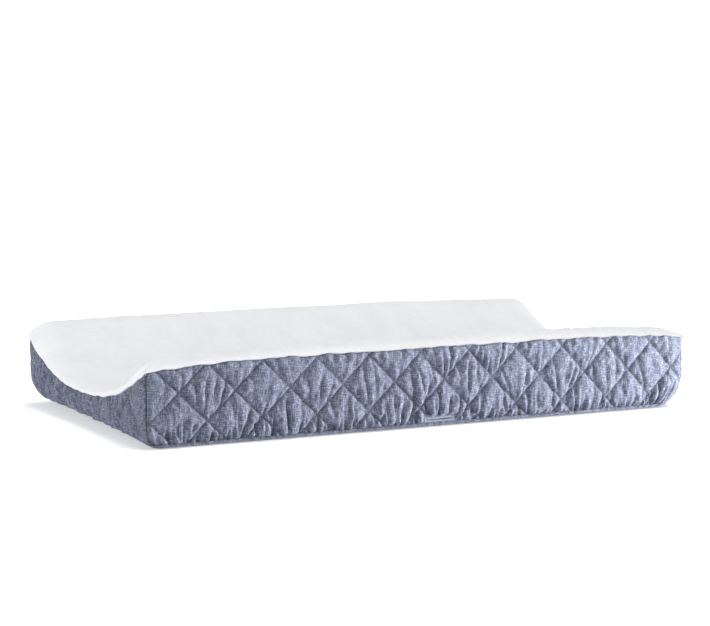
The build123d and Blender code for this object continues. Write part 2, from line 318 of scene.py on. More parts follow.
# --- surface of the quilted sides ---
FINE_STEP = 1.4
SEWN_OUT = {"front": -3.0, "back": -3.0, "left": -2.8, "right": -2.8}  # stitch lines, from the outline
PUFF = {"front": 3.9, "back": 3.9, "left": 3.2, "right": 3.2}  # height of the pillows between lines
PUFF_RISE = 1.2  # simulated height at which a pillow has gained most of its own
SIM_SEEDS = {"front": 3, "back": 8, "left": 5, "right": 12}
PUFF_BLUR = 2.6  # in cells of the simulation: above this is puff, below it creases
STITCH_SHADE = 0.42  # painted shade: darker cloth along the stitch grooves
STITCH_SHADE_WIDTH = 1.2
# painted shade: darker cloth in the crease valleys
CREASE_SHADE = 0.5
RIDGE_PAINTED_HIGHLIGHT = 0.22  # painted highlight: paler cloth on the crease ridges
CREASE = 1.5  # share kept of the simulated creases
PLEAT = {"front": 4.0, "back": 4.0, "left": 2.6, "right": 2.6}  # height of the upright puckers
GROOVE_WIDTH = 1.6
CORNER_CALM = 30.0  # the cloth is pulled smoother this near each corner seam
RIM_WIDTH = 3.2  # cloth rolls in towards each seam over this
RIM_DEPTH = 2.0
HEM_RIM_DEPTH = 0.6
OUT_RANGE = (-0.6, 7.0)  # least and most height of the cloth from its stitch lines
SLIDE = 1.5  # the simulation moves a point along the surface by at most this
PUCKER_DRAWS = (32, 32, 4)  # four numbers, of which three are used, for each of 32 x 32 diamonds


def snapped(lines, places):
    """Move the nearest grid line onto each place."""
    for place in places:
        lines[np.argmin(np.abs(lines - place))] = place
    return lines


def slit_edges(side):
    """Along-side places and height fractions of the edges of a side's belt slit, if it has one."""
    if side not in SLIT_S:
        return [], []
    places = [SLIT_S[side] + k * SLIT_HALF[0] for k in (-1, 1)]
    return places, [(SLIT_Z + k * SLIT_HALF[1] - LIP_Z) / (SEAM_Z - LIP_Z) for k in (-1, 1)]


def side_grid(side, step):
    """Along-side places, height fractions and heights of a grid over one side."""
    run = half_run(side)
    places, fractions = slit_edges(side)
    s = snapped(np.linspace(-run, run, int(round(2 * run / step)) + 1), places)
    v = snapped(np.linspace(0.0, 1.0, int(round((SEAM_Z - LIP_Z) / step)) + 1), fractions)
    s_grid = s[None, :].repeat(len(v), 0)
    return s, v, s_grid, LIP_Z + v[:, None] * (seam_height(side, s_grid) - LIP_Z)


def resampled(values, rows, columns):
    """A grid of values at fractional rows and columns."""
    high_row, high_column = values.shape[0] - 1, values.shape[1] - 1
    rows, columns = np.clip(rows, 0, high_row), np.clip(columns, 0, high_column)
    row, column = np.minimum(rows.astype(int), high_row - 1), np.minimum(columns.astype(int), high_column - 1)
    up, along = rows - row, columns - column
    if values.ndim == 3:
        up, along = up[..., None], along[..., None]
    low = values[row, column] * (1 - along) + values[row, column + 1] * along
    high = values[row + 1, column] * (1 - along) + values[row + 1, column + 1] * along
    return low * (1 - up) + high * up


def puckers(side, s, z, seed):
    """Folds across each diamond of the quilting, drawn together towards its foot and its head."""
    rising, falling = quilt_cells(side, s, z)
    column, row = np.floor(rising).astype(int), np.floor(falling).astype(int)
    across = (rising - column) + (falling - row) - 1
    above_foot = 1 + (rising - column) - (falling - row)
    draws = np.random.default_rng(seed).uniform(0.0, 1.0, PUCKER_DRAWS)
    count, shift, height = np.moveaxis(draws[column % PUCKER_DRAWS[0], row % PUCKER_DRAWS[1]], -1, 0)[:3]
    fan = across / (0.42 + 0.45 * np.clip(above_foot, 0.0, 1.4)) + 0.1 * ripple(s, z, 80.0, seed + 1, 2.0)
    turns = (1.5 + 1.1 * count) * fan + shift
    fold = 2 * np.abs(np.sin(math.pi * turns)) ** 0.75 - 1.2
    fading = np.clip(0.75 + 0.4 * ripple(s, z, 38.0, seed + 2, 2.0), 0.15, 1.3)
    upper_calm = 1 - 0.5 * smooth((z - 66.0) / 26.0)
    return fold * (0.4 + 0.8 * height) * np.clip(1.35 - 0.42 * above_foot, 0.45, 1.1) * fading * upper_calm


def puffed(side, v_lines, s):
    """How far the simulated cloth moves each point of a side's grid, without its creases, and these."""
    run = half_run(side)
    simulated = simulate_side(side, SIM_SEEDS[side])
    broad = blurred(simulated[..., 2:], PUFF_BLUR)
    rows = np.repeat(v_lines[:, None], s.shape[1], 1) * (simulated.shape[0] - 1)
    columns = (s + run) / (2 * run) * (simulated.shape[1] - 1)
    moved = resampled(np.concatenate([simulated[..., :2], broad], -1), rows, columns)
    return moved, resampled(simulated[..., 2] - broad[..., 0], rows, columns)


def quilted_surface(side):
    """The outer face of one side: its grid lines, and each point's place, height, out and shade."""
    s_lines, v_lines, s, z = side_grid(side, FINE_STEP)
    run = half_run(side)
    seam = seam_height(side, s)
    seed = SIM_SEEDS[side]
    sewn = stitch_distance(side, s, z)
    rim = np.minimum(np.minimum(z - LIP_Z, seam - z), run - np.abs(s))
    distance = np.minimum(sewn, rim)
    moved, creases = puffed(side, v_lines, s)
    near_hem = np.exp(-(z - LIP_Z) / 26.0)
    near_seam = np.exp(-(seam - z) / 12.0)
    strength = 0.55 + 0.65 * near_hem + 0.2 * near_seam
    strength *= 1.15 - 0.55 * smooth(s / run + 0.1)
    lean = 6.0 * ripple(s, z, 120.0, seed + 20)
    patch = np.clip(0.55 + 0.5 * ripple(s, z, 60.0, seed + 23), 0.0, 1.3)
    folds = 1.3 * np.abs(ripple(s + lean, z, 22.0, seed + 21, 8.0)) ** 0.7 - 0.9
    pleats = 0.35 * patch * folds + 0.85 * puckers(side, s, z, seed + 24)
    pleats += 0.5 * near_hem * ripple(s, z, 8.0, seed + 22, 4.0)
    groove = 1 - np.exp(-((sewn / GROOVE_WIDTH) ** 2))
    edge = 1 - np.exp(-((rim / GROOVE_WIDTH) ** 2))
    pillow = PUFF[side] * (1 - np.exp(-np.clip(moved[..., 2], 0.0, None) / PUFF_RISE))
    body = pillow + CREASE * creases + PLEAT[side] * strength * pleats
    body *= 0.2 + 0.8 * smooth((run - np.abs(s)) / CORNER_CALM)
    out = SEWN_OUT[side] + np.clip(body, *OUT_RANGE) * groove * (0.3 + 0.7 * edge)
    out += 0.25 * near_hem * pleats * edge
    roll = np.where(z - LIP_Z < RIM_WIDTH, HEM_RIM_DEPTH, RIM_DEPTH)
    out -= roll * (1 - np.clip(rim / RIM_WIDTH, 0.0, 1.0)) ** 2
    if side in SLIT_S:
        beyond = np.maximum(np.abs(s - SLIT_S[side]) - SLIT_HALF[0], np.abs(z - SLIT_Z) - SLIT_HALF[1])
        out += (SLIT_OUT - out) * (1 - smooth((beyond - 2.2) / 5.0))
    slide = np.clip(moved[..., :2], -SLIDE, SLIDE) * (groove * edge)[..., None]
    # Painted shade along the stitches and in the crease valleys, and a painted highlight on the ridges, which
    # scale the cloth colour.
    valley, ridge = (np.clip(sign * strength * pleats, 0.0, 1.0) * groove for sign in (-1, 1))
    shade = 1 - STITCH_SHADE * np.exp(-((distance / STITCH_SHADE_WIDTH) ** 2))
    shade += RIDGE_PAINTED_HIGHLIGHT * ridge - CREASE_SHADE * valley
    return {
        "shade": shade,
        "s_lines": s_lines,
        "v_lines": v_lines,
        "s": s + slide[..., 0],
        "z": z + slide[..., 1],
        "out": out,
        "uv": np.stack([s, z], -1) * MM,
    }


def place(side, s, z, out):
    """Points of the cover at s along a side and height z, out from the outline."""
    x, y = outline(side, s, out)
    x, y = tuck(x, y, z)
    return np.stack([x, y, z + 0 * x], -1)


def surface_out(side, surface, s, z):
    """How far out the outer face of a side is at given places."""
    v = (z - LIP_Z) / (seam_height(side, s) - LIP_Z)
    rows = np.interp(v, surface["v_lines"], np.arange(len(surface["v_lines"])))
    columns = np.interp(s, surface["s_lines"], np.arange(len(surface["s_lines"])))
    return resampled(surface["out"], rows, columns)


# --- making pieces ---
def shell_faces(rows, columns, keep=None):
    """Faces of two matching grids, one behind the other, closed round every open edge."""
    outer = grid_faces(rows, columns)
    if keep is not None:
        outer = outer[keep.reshape(-1)]
    count = rows * columns
    edges = np.stack([outer, np.roll(outer, -1, 1)], -1).reshape(-1, 2)
    there, back = edges[:, 0] * count + edges[:, 1], edges[:, 1] * count + edges[:, 0]
    a, b = edges[~np.isin(there, back)].T
    return np.concatenate([outer, outer[:, ::-1] + count, np.stack([b, a, a + count, b + count], -1)])


def behind(points, thickness):
    """The grid a thickness behind another, along its normals."""
    normal = np.cross(np.gradient(points, axis=1), np.gradient(points, axis=0))
    length = np.linalg.norm(normal, axis=-1, keepdims=True)
    normal = np.where(length > 1e-6, normal / np.maximum(length, 1e-6), (0.0, 0.0, 1.0))
    return points - normal * thickness


def add_piece(name, points, faces, uv, look, slot, body="pad", replaced=()):
    """Add a piece made of points in millimetres, riding on a body."""
    points = np.asarray(points, float).reshape(-1, 3)
    faces = np.asarray(faces)
    used, faces = np.unique(faces, return_inverse=True)
    faces = faces.reshape(-1, 4)
    points = points[used]
    a, b, c, d = (points[faces[:, k]] for k in range(4))
    volume = (np.cross(a, b) * c).sum() + (np.cross(a, c) * d).sum()
    if volume < 0:
        faces = faces[:, ::-1]
    mesh = bpy.data.meshes.new(name)
    mesh.from_pydata((points * MM).tolist(), [], faces.tolist())
    if uv is not None:
        corners = np.empty(len(mesh.loops), np.int32)
        mesh.loops.foreach_get("vertex_index", corners)
        layer = mesh.uv_layers.new(name="UVMap")
        flat = np.asarray(uv, float).reshape(-1, 2)[used]
        layer.data.foreach_set("uv", flat[corners].astype(np.float32).reshape(-1))
    mesh.shade_smooth()
    mesh.materials.append(look)
    piece = bpy.data.objects.new(name, mesh)
    bpy.context.collection.objects.link(piece)
    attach(piece, body)
    if replaced:
        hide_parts(*replaced)
    return piece


def add_shell(name, front, rear, uv, look, slot, keep=None, **facts):
    """Add a closed piece between two grids of points."""
    faces = shell_faces(*front.shape[:2], keep)
    points = np.concatenate([front.reshape(-1, 3), rear.reshape(-1, 3)])
    return add_piece(name, points, faces, np.concatenate([uv.reshape(-1, 2)] * 2), look, slot, **facts)


def ring_faces(shape):
    """Faces of bars, each a row of rings of points, closed at both ends; shape is (bars, rings, spokes)."""
    index = np.arange(math.prod(shape)).reshape(shape)
    turned = np.roll(index, -1, 2)
    walls = np.stack([index[:, :-1], index[:, 1:], turned[:, 1:], turned[:, :-1]], -1).reshape(-1, 4)
    fans = [[0, k, k + 1, k + 2] for k in range(1, shape[2] - 1, 2)]
    caps = [index[:, 0][:, fan] for fan in fans] + [index[:, -1][:, fan[::-1]] for fan in fans]
    return np.concatenate([walls] + caps)


RING = 6  # spokes of a stitch
# place along a stitch, and share of its radius there
STITCH_RINGS = ((0.0, 0.45), (0.22, 1.0), (0.78, 1.0), (1.0, 0.45))


def add_stitches(name, starts, ends, normals, radius, look, body="pad", replaced=(), flat=0.75):
    """Add a row of stitches, each a rounded bar of thread from a start to an end."""
    starts, ends = np.asarray(starts), np.asarray(ends)
    axis = ends - starts
    length = np.linalg.norm(axis, axis=1, keepdims=True)
    across = np.cross(axis, normals)
    across /= np.linalg.norm(across, axis=1, keepdims=True)
    up = np.cross(across, axis)
    up /= np.linalg.norm(up, axis=1, keepdims=True)
    turns = 2 * math.pi * np.arange(RING) / RING
    cosines, sines = np.cos(turns)[None, :, None], np.sin(turns)[None, :, None]
    spokes = cosines * across[:, None] + flat * sines * up[:, None]
    rings = []
    for t, share in STITCH_RINGS:
        middle = starts + axis * t
        rings.append(middle[:, None] + radius * share * spokes)
    points = np.stack(rings, 1)
    along = np.array([t for t, _ in STITCH_RINGS])[None, :, None] * length[:, None] * MM
    uv = np.stack(np.broadcast_arrays(turns[None, None, :] * radius * MM, along), -1)
    return add_piece(name, points, ring_faces(points.shape[:3]), uv, look, "stitching_thread", body, replaced)


# --- looks ---
class Look:
    """A material being made, with short calls for its nodes."""

    def __init__(self, name, roughness, **sockets):
        self.material = bpy.data.materials.new(name)
        self.material.use_nodes = True
        self.tree = self.material.node_tree
        self.shader = self.tree.nodes["Principled BSDF"]
        self.shader.inputs["Roughness"].default_value = roughness
        for socket, value in sockets.items():
            self.shader.inputs[socket.replace("_", " ")].default_value = value

    def node(self, kind, settings=(), **inputs):
        """Add a node, with its inputs given by name as values or as other nodes' outputs."""
        made = self.tree.nodes.new("ShaderNode" + kind)
        for setting, value in dict(settings).items():
            setattr(made, setting, value)
        for socket, value in inputs.items():
            number = socket[1:]
            target = made.inputs[int(number) if number.isdigit() else socket.replace("_", " ")]
            if isinstance(value, bpy.types.NodeSocket):
                self.tree.links.new(value, target)
            else:
                target.default_value = value
        return made.outputs

    def place(self, use_uv, scale=1.0):
        """Coordinates in cycles, from the piece's cloth directions or its own space."""
        source = self.node("UVMap")["UV"] if use_uv else self.node("TexCoord")["Object"]
        return self.node("Mapping", Vector=source, Scale=np.broadcast_to(scale, 3).tolist())["Vector"]

    def noise(self, use_uv, scale, detail=2.0, roughness=0.5, distortion=0.0):
        """Noise with one scale or three, in cycles a metre."""
        made = self.node("TexNoise", Vector=self.place(use_uv, scale), Scale=1.0, Detail=detail,
                         Roughness=roughness, Distortion=distortion)
        return made["Fac"]

    def math(self, operation, a, b=0.5):
        """Combine two values."""
        return self.node("Math", {"operation": operation}, _0=a, _1=b)["Value"]

    def mean(self, *weighted):
        """Weighted sum of values, given as (value, weight)."""
        total = None
        for value, weight in weighted:
            part = self.math("MULTIPLY", value, weight)
            total = part if total is None else self.math("ADD", total, part)
        return total

    def ramp(self, value, *stops):
        """Colour by value, from (place, colour) stops, where a grey is one number."""
        made = self.tree.nodes.new("ShaderNodeValToRGB")
        marks = made.color_ramp.elements
        marks[0].position, marks[1].position = stops[0][0], stops[-1][0]
        places = [marks[0], *(marks.new(where) for where, _ in stops[1:-1]), marks[len(stops) - 1]]
        for mark, (_, colour) in zip(places, stops):
            mark.color = (*np.broadcast_to(colour, 3), 1.0)
        self.tree.links.new(value, made.inputs["Fac"])
        return made.outputs["Color"]

    def colour(self, output):
        """Base colour from a node's output."""
        self.tree.links.new(output, self.shader.inputs["Base Color"])

    def paint(self, value, *stops):
        """Base colour by value, from (place, colour) stops."""
        self.colour(self.ramp(value, *stops))

    def rough(self, value, low, high):
        """Roughness from low to high by a value."""
        out = self.node("MapRange", Value=value, To_Min=low, To_Max=high)["Result"]
        self.tree.links.new(out, self.shader.inputs["Roughness"])

    def bump(self, height, millimetres, strength=1.0):
        """Bump, on top of any already added."""
        before = self.shader.inputs["Normal"].links
        made = self.tree.nodes.new("ShaderNodeBump")
        if before:
            self.tree.links.new(before[0].from_socket, made.inputs["Normal"])
        self.tree.links.new(height, made.inputs["Height"])
        made.inputs["Strength"].default_value = strength
        made.inputs["Distance"].default_value = millimetres * MM
        self.tree.links.new(made.outputs["Normal"], self.shader.inputs["Normal"])


def chambray_look(name, shade=1.0, shaded=False):
    """Heathered plain weave: dark blue and white yarns of uneven thickness."""
    look = Look(name, 0.88, Sheen_Weight=0.12, Sheen_Roughness=0.5, Specular_IOR_Level=0.25)
    warp = look.noise(True, (1000.0, 140.0, 1.0), 2.0, 0.55)
    weft = look.noise(True, (140.0, 1000.0, 1.0), 2.0, 0.55)
    flecks = look.noise(True, (1500.0, 1500.0, 1.0), 2.0, 0.7)
    patches = look.noise(True, (16.0, 22.0, 1.0), 3.0, 0.6)
    yarns = look.mean((warp, 0.36), (weft, 0.34), (flecks, 0.24), (patches, 0.06))
    dark, middle, pale = [tuple(shade * c for c in colour) for colour in (
        (0.024, 0.028, 0.055), (0.093, 0.106, 0.158), (0.39, 0.425, 0.5))]
    cloth = look.ramp(yarns, (0.34, dark), (0.49, middle), (0.66, pale))
    if shaded:
        # painted shade and highlight: the cloth colour is scaled by the face's stored shade
        shade_of = look.node("Attribute", {"attribute_name": "shade"})["Fac"]
        cloth = look.node("VectorMath", {"operation": "SCALE"}, Vector=cloth, Scale=shade_of)["Vector"]
    look.colour(cloth)
    look.bump(yarns, 0.4, 0.35)
    ends = look.noise(True, (2600.0, 700.0, 1.0), 1.0)
    picks = look.noise(True, (700.0, 2600.0, 1.0), 1.0)
    look.bump(look.mean((ends, 0.5), (picks, 0.5)), 0.25, 0.5)
    return look.material


def plush_look():
    """Short soft pile, brushed in patches."""
    look = Look("plush_pile", 0.95, Sheen_Weight=0.35, Sheen_Roughness=0.6, Specular_IOR_Level=0.15)
    pile = look.noise(False, 1100.0, 3.0, 0.7)
    brushed = look.noise(False, (26.0, 14.0, 20.0), 4.0, 0.6, 0.6)
    tufts = look.noise(False, (190.0, 260.0, 220.0), 3.0, 0.6)
    shade = look.mean((pile, 0.35), (brushed, 0.4), (tufts, 0.25))
    look.paint(shade, (0.34, (0.725, 0.728, 0.745)), (0.6, (0.81, 0.812, 0.824)))
    look.bump(tufts, 0.7, 0.35)
    look.bump(pile, 0.35, 0.5)
    return look.material


def thread_look(name, dark, light):
    """Twisted sewing thread."""
    look = Look(name, 0.6, Sheen_Weight=0.2, Specular_IOR_Level=0.3)
    twist = look.noise(False, 900.0, 2.0)
    look.paint(twist, (0.35, dark), (0.65, light))
    look.bump(twist, 0.08, 0.5)
    return look.material


def wadding_look():
    """Lofted fibres."""
    look = Look("wadding_fibres", 1.0, Sheen_Weight=0.3, Specular_IOR_Level=0.1)
    fibres = look.noise(True, (240.0, 900.0, 1.0), 5.0, 0.75, 2.0)
    loft = look.noise(True, (40.0, 40.0, 1.0), 3.0)
    tone = look.mean((fibres, 0.6), (loft, 0.4))
    look.paint(tone, (0.3, (0.78, 0.78, 0.76)), (0.65, (0.95, 0.95, 0.94)))
    look.bump(fibres, 0.6, 0.6)
    return look.material


def lining_look():
    """Thin plain-weave lining."""
    look = Look("lining_weave", 0.85, Specular_IOR_Level=0.2)
    warp = look.noise(True, (1400.0, 220.0, 1.0), 2.0)
    weft = look.noise(True, (220.0, 1400.0, 1.0), 2.0)
    yarns = look.mean((warp, 0.5), (weft, 0.5))
    look.paint(yarns, (0.35, (0.74, 0.74, 0.75)), (0.65, 0.92))
    look.bump(yarns, 0.15, 0.6)
    return look.material


def foam_look():
    """Open cells cut through."""
    look = Look("foam_cells", 0.95, Specular_IOR_Level=0.15)
    cells = look.node("TexVoronoi", Vector=look.place(False), Scale=700.0)["Distance"]
    stain = look.noise(False, 9.0, 3.0)
    tone = look.mean((cells, 0.45), (stain, 0.55))
    look.paint(tone, (0.2, (0.72, 0.66, 0.48)), (0.6, (0.93, 0.9, 0.78)))
    look.bump(cells, 0.5, 0.7)
    return look.material


def vinyl_look():
    """Wipe-clean sheet with a fine leathery grain."""
    look = Look("wipe_clean_vinyl", 0.42, Specular_IOR_Level=0.45, Coat_Weight=0.1, Coat_Roughness=0.35)
    grain = look.node("TexVoronoi", {"feature": "DISTANCE_TO_EDGE"}, Vector=look.place(False),
                      Scale=420.0)["Distance"]
    cloud = look.noise(False, 12.0, 3.0)
    look.paint(cloud, (0.3, (0.84, 0.84, 0.82)), (0.7, (0.93, 0.93, 0.92)))
    look.rough(cloud, 0.36, 0.5)
    look.bump(grain, 0.2, 0.5)
    return look.material


def grip_look(name, dark, light):
    """Brushed non-slip backing."""
    look = Look(name, 0.9, Specular_IOR_Level=0.2)
    fuzz = look.noise(False, 900.0, 3.0, 0.7)
    cloud = look.noise(False, 25.0, 3.0)
    look.paint(look.mean((fuzz, 0.5), (cloud, 0.5)), (0.33, dark), (0.66, light))
    look.bump(fuzz, 0.25, 0.6)
    return look.material


def webbing_look():
    """Flat woven strap: ribs along it crossed by a tight weft. Cloth directions are across, along."""
    look = Look("woven_webbing", 0.62, Sheen_Weight=0.1, Specular_IOR_Level=0.35)
    ribs = look.node("TexWave", {"wave_profile": "SIN"}, Vector=look.place(True), Scale=190.0,
                     Distortion=0.6, Detail=1.0, Detail_Scale=3.0)["Fac"]
    weft = look.node("TexWave", {"wave_profile": "SIN", "bands_direction": "Y"},
                     Vector=look.place(True), Scale=260.0, Distortion=0.8, Detail=1.0,
                     Detail_Scale=2.0)["Fac"]
    yarns = look.mean((ribs, 0.5), (weft, 0.5))
    look.paint(yarns, (0.1, (0.66, 0.66, 0.65)), (0.7, (0.9, 0.9, 0.885)))
    look.bump(yarns, 0.35, 0.8)
    return look.material


def elastic_look():
    """Braided elastic, ribbed across its length."""
    look = Look("braided_elastic", 0.7, Specular_IOR_Level=0.3)
    ribs = look.node("TexWave", {"bands_direction": "Y"}, Vector=look.place(True), Scale=220.0,
                     Distortion=1.0)["Fac"]
    look.paint(ribs, (0.0, (0.7, 0.7, 0.68)), (0.8, (0.92, 0.92, 0.9)))
    look.bump(ribs, 0.3, 0.7)
    return look.material


def plastic_look():
    """Moulded acetal with a fine spark-eroded texture."""
    look = Look("moulded_acetal", 0.45, Specular_IOR_Level=0.45)
    grain = look.noise(False, 2200.0, 2.0, 0.7)
    flow = look.noise(False, (40.0, 90.0, 60.0), 3.0)
    look.paint(flow, (0.3, 0.80), (0.7, (0.88, 0.88, 0.875)))
    look.rough(grain, 0.38, 0.52)
    look.bump(grain, 0.05, 0.5)
    return look.material


def brass_look():
    """Plated eyelet, a little dulled and scratched."""
    look = Look("plated_brass", 0.3, Metallic=1.0)
    dull = look.noise(False, 120.0, 4.0, 0.7)
    scratches = look.noise(False, (1800.0, 90.0, 300.0), 2.0)
    look.paint(dull, (0.3, (0.56, 0.43, 0.2)), (0.7, (0.82, 0.69, 0.4)))
    look.rough(look.mean((dull, 0.6), (scratches, 0.4)), 0.2, 0.48)
    look.bump(scratches, 0.03, 0.5)
    return look.material


LOOKS = {
    "chambray": chambray_look("chambray_weave", shaded=True),
    # painted shade: the turned-under hem gets a copy of the chambray painted 8 % darker
    "hem": chambray_look("chambray_hem", 0.92),
    "plush": plush_look(),
    "quilt_thread": thread_look("quilting_thread", (0.03, 0.035, 0.07), (0.12, 0.135, 0.21)),
    "pale_thread": thread_look("slit_thread", (0.17, 0.195, 0.27), (0.4, 0.435, 0.53)),
    "white_thread": thread_look("tab_thread", 0.6, (0.85, 0.85, 0.84)),
    "wadding": wadding_look(),
    "lining": lining_look(),
    "foam": foam_look(),
    "vinyl": vinyl_look(),
    "grip": grip_look("grip_backing", (0.66, 0.67, 0.69), (0.86, 0.87, 0.88)),
    "grip_dots": grip_look("grip_dot_rubber", (0.5, 0.51, 0.53), (0.66, 0.67, 0.69)),
    "webbing": webbing_look(),
    "elastic": elastic_look(),
    "plastic": plastic_look(),
    "brass": brass_look(),
}


# --- quilted sides of the cover ---
FACE_CLOTH = 0.6
WADDING_OUT = -0.9  # front of the wadding, from the outer face
WADDING_BACK = -4.6
WADDING_LEAST = 0.25  # least thickness
LINING_FRONT = -4.75
LINING_BACK = -5.0
SEAM_MARGIN = 3.0  # the wadding stops this far from the seams
COARSE = 4  # the wadding and lining take every fourth line of the face's grid
STITCH_PITCH = 3.2
STITCH_LENGTH = 2.3
THREAD = 0.36  # radius
FACE_TAKE_UP = 1.1  # how much longer and wider the face was cut than the side it covers
LINING_TAKE_UP = 1.01
THREAD_MARGIN = 1.6  # the quilting stops this near the hem and the seam
END_GAP = 1.5  # and this near the corner seams
SLIT_GAP = 3.0  # and this near a belt slit
SATIN_PITCH = 0.95  # stitches round the belt slits
SATIN_REACH = 1.3  # how far they reach out from the slit
SATIN_THREAD = 0.38  # radius


def area_of(side, take_up):
    """Flat area of a side's cloth, in square metres."""
    s = np.linspace(-half_run(side), half_run(side), 400)
    heights = seam_height(side, s) - LIP_Z
    return float(np.mean(heights) * 2 * half_run(side) * take_up**2 * MM * MM)


def hole_keep(side, s_lines, v_lines):
    """Which cells of a side's grid are cloth: all but those in its belt slit."""
    keep = np.ones((len(v_lines) - 1, len(s_lines) - 1), bool)
    if side in SLIT_S:
        z = LIP_Z + v_lines * (SEAM_Z - LIP_Z)
        s_in = np.abs((s_lines[1:] + s_lines[:-1]) / 2 - SLIT_S[side]) < SLIT_HALF[0]
        z_in = np.abs((z[1:] + z[:-1]) / 2 - SLIT_Z) < SLIT_HALF[1]
        keep[np.ix_(z_in, s_in)] = False
    return keep


def every(lines, places, step):
    """Indices of every step-th line, with the ones nearest some places."""
    chosen = set(range(0, len(lines), step)) | {len(lines) - 1}
    chosen |= {int(np.argmin(np.abs(lines - place))) for place in places}
    return np.array(sorted(chosen))


def lowest(values, reach):
    """The least value within reach cells of each."""
    for axis in (0, 1):
        values = np.minimum.reduce([np.roll(values, k, axis) for k in range(-reach, reach + 1)])
    return values


def add_shade(piece, shade, keep):
    """Store the painted shade and highlight of the cloth at each point of a shell's two faces."""
    used = np.unique(shell_faces(*shade.shape, keep))
    values = np.concatenate([shade.reshape(-1)] * 2)[used].astype(np.float32)
    layer = piece.data.attributes.new("shade", "FLOAT", "POINT")
    layer.data.foreach_set("value", values)


def make_side(side):
    """One quilted side: its face cloth, wadding, lining and quilting thread."""
    surface = quilted_surface(side)
    s, z, out, uv = (surface[key] for key in ("s", "z", "out", "uv"))
    s_lines, v_lines = surface["s_lines"], surface["v_lines"]
    front, keep = place(side, s, z, out), hole_keep(side, s_lines, v_lines)
    face = add_shell(f"{side}_cover_face", front, behind(front, FACE_CLOTH), uv, LOOKS["chambray"],
                     "chambray", keep=keep, replaced=[f"{side}_panel_face"])
    add_shade(face, surface["shade"], keep)

    places, fractions = slit_edges(side)
    rows, columns = every(v_lines, fractions, COARSE), every(s_lines, places, COARSE)
    pick = np.ix_(rows, columns)
    s, z, out, uv = s[pick], z[pick], lowest(out, COARSE)[pick], uv[pick]
    keep = hole_keep(side, s_lines[columns], v_lines[rows])
    inward = np.maximum(np.minimum(out, SEWN_OUT[side] + 2.5) + WADDING_OUT, WADDING_BACK + WADDING_LEAST)
    inset = half_run(side) - SEAM_MARGIN
    s_in = np.clip(s, -inset, inset)
    z_in = np.clip(z, LIP_Z + 1.0, seam_height(side, s) - SEAM_MARGIN)
    wadding = add_shell(f"{side}_cover_wadding", place(side, s_in, z_in, inward),
                        place(side, s_in, z_in, WADDING_BACK + 0 * s), uv, LOOKS["wadding"], "batting",
                        keep=keep, replaced=[f"{side}_panel_batting"])
    dimple = 0.15 * (1 - np.exp(-stitch_distance(side, s, z) / 5.0))
    lining = add_shell(f"{side}_cover_lining", place(side, s, z_in, LINING_FRONT - dimple),
                       place(side, s, z_in, LINING_BACK - dimple), uv, LOOKS["lining"], "lining", keep=keep,
                       replaced=[f"{side}_panel_lining"])
    thread = quilt_thread(side, surface)
    area_of(side, FACE_TAKE_UP)
    area_of(side, LINING_TAKE_UP)


def quilt_line(side, number, slope, z):
    """Places along a side where one line of quilting passes given heights."""
    phase, middle, tilt, stretch = QUILT[side]
    s = phase + 0 * z
    for _ in range(12):
        cells = (s - phase) / PITCH
        s = phase + PITCH * (number - slope * (z - middle - tilt * s) / PITCH - stretch * cells**2)
    return s


def outwards(side, s, z, out):
    """Directions out of the cover's surface at places on a side."""
    near, far = place(side, s, z, out), place(side, s, z, out + 1.0)
    return far - near


def quilt_thread(side, surface):
    """The stitches along every line of quilting on a side."""
    run = half_run(side)
    starts, ends = [], []
    rise = STITCH_PITCH / math.sqrt(2)
    lines = int(run / PITCH) + 3
    for number in range(-lines, lines + 1):
        for slope in (-1, 1):
            z = np.arange(LIP_Z + THREAD_MARGIN, SEAM_Z - THREAD_MARGIN, rise)
            z_end = z + STITCH_LENGTH / math.sqrt(2)
            s, s_end = (quilt_line(side, number, slope, heights) for heights in (z, z_end))
            on_it = (np.abs(s) < run - END_GAP) & (np.abs(s_end) < run - END_GAP)
            on_it &= z_end < seam_height(side, np.clip(s, -run, run)) - END_GAP
            if side in SLIT_S:
                half_s, half_z = SLIT_HALF + SLIT_GAP
                on_it &= (np.abs(s - SLIT_S[side]) > half_s) | (np.abs(z - SLIT_Z) > half_z)
            starts.append(np.stack([s, z], -1)[on_it])
            ends.append(np.stack([s_end, z_end], -1)[on_it])
    (s, z), (s_end, z_end) = np.concatenate(starts).T, np.concatenate(ends).T
    out, out_end = (surface_out(side, surface, *at) + THREAD * 0.4 for at in ((s, z), (s_end, z_end)))
    return add_stitches(f"{side}_quilting_thread", place(side, s, z, out), place(side, s_end, z_end, out_end),
                        outwards(side, s, z, out), THREAD, LOOKS["quilt_thread"])


def make_slit_stitching(side):
    """Satin stitches all round a belt slit."""
    half_s, half_z = SLIT_HALF
    inner, outer = [], []
    for z_sign in (-1, 1):
        for s in np.arange(-half_s, half_s + 0.01, SATIN_PITCH):
            inner.append((s, z_sign * min(0.4, half_z)))
            outer.append((s, z_sign * (half_z + SATIN_REACH)))
    for s_sign in (-1, 1):
        for z in np.arange(-half_z - 1.4, half_z + 1.5, SATIN_PITCH):
            inner.append((s_sign * (half_s - 0.3), z))
            outer.append((s_sign * (half_s + SATIN_REACH), z))
    inner, outer = np.array(inner), np.array(outer)
    middle = np.array([SLIT_S[side], SLIT_Z])
    (s, z), (s_out, z_out) = (inner + middle).T, (outer + middle).T
    lift = SLIT_OUT + 0.25
    return add_stitches(f"{side}_slit_satin_stitch", place(side, s, z, lift), place(side, s_out, z_out, lift),
                        outwards(side, s, z, lift), SATIN_THREAD, LOOKS["pale_thread"],
                        replaced=[f"{side}_belt_slit_stitching"])


for side in SIDES:
    make_side(side)
for side in SLIT_S:
    make_slit_stitching(side)


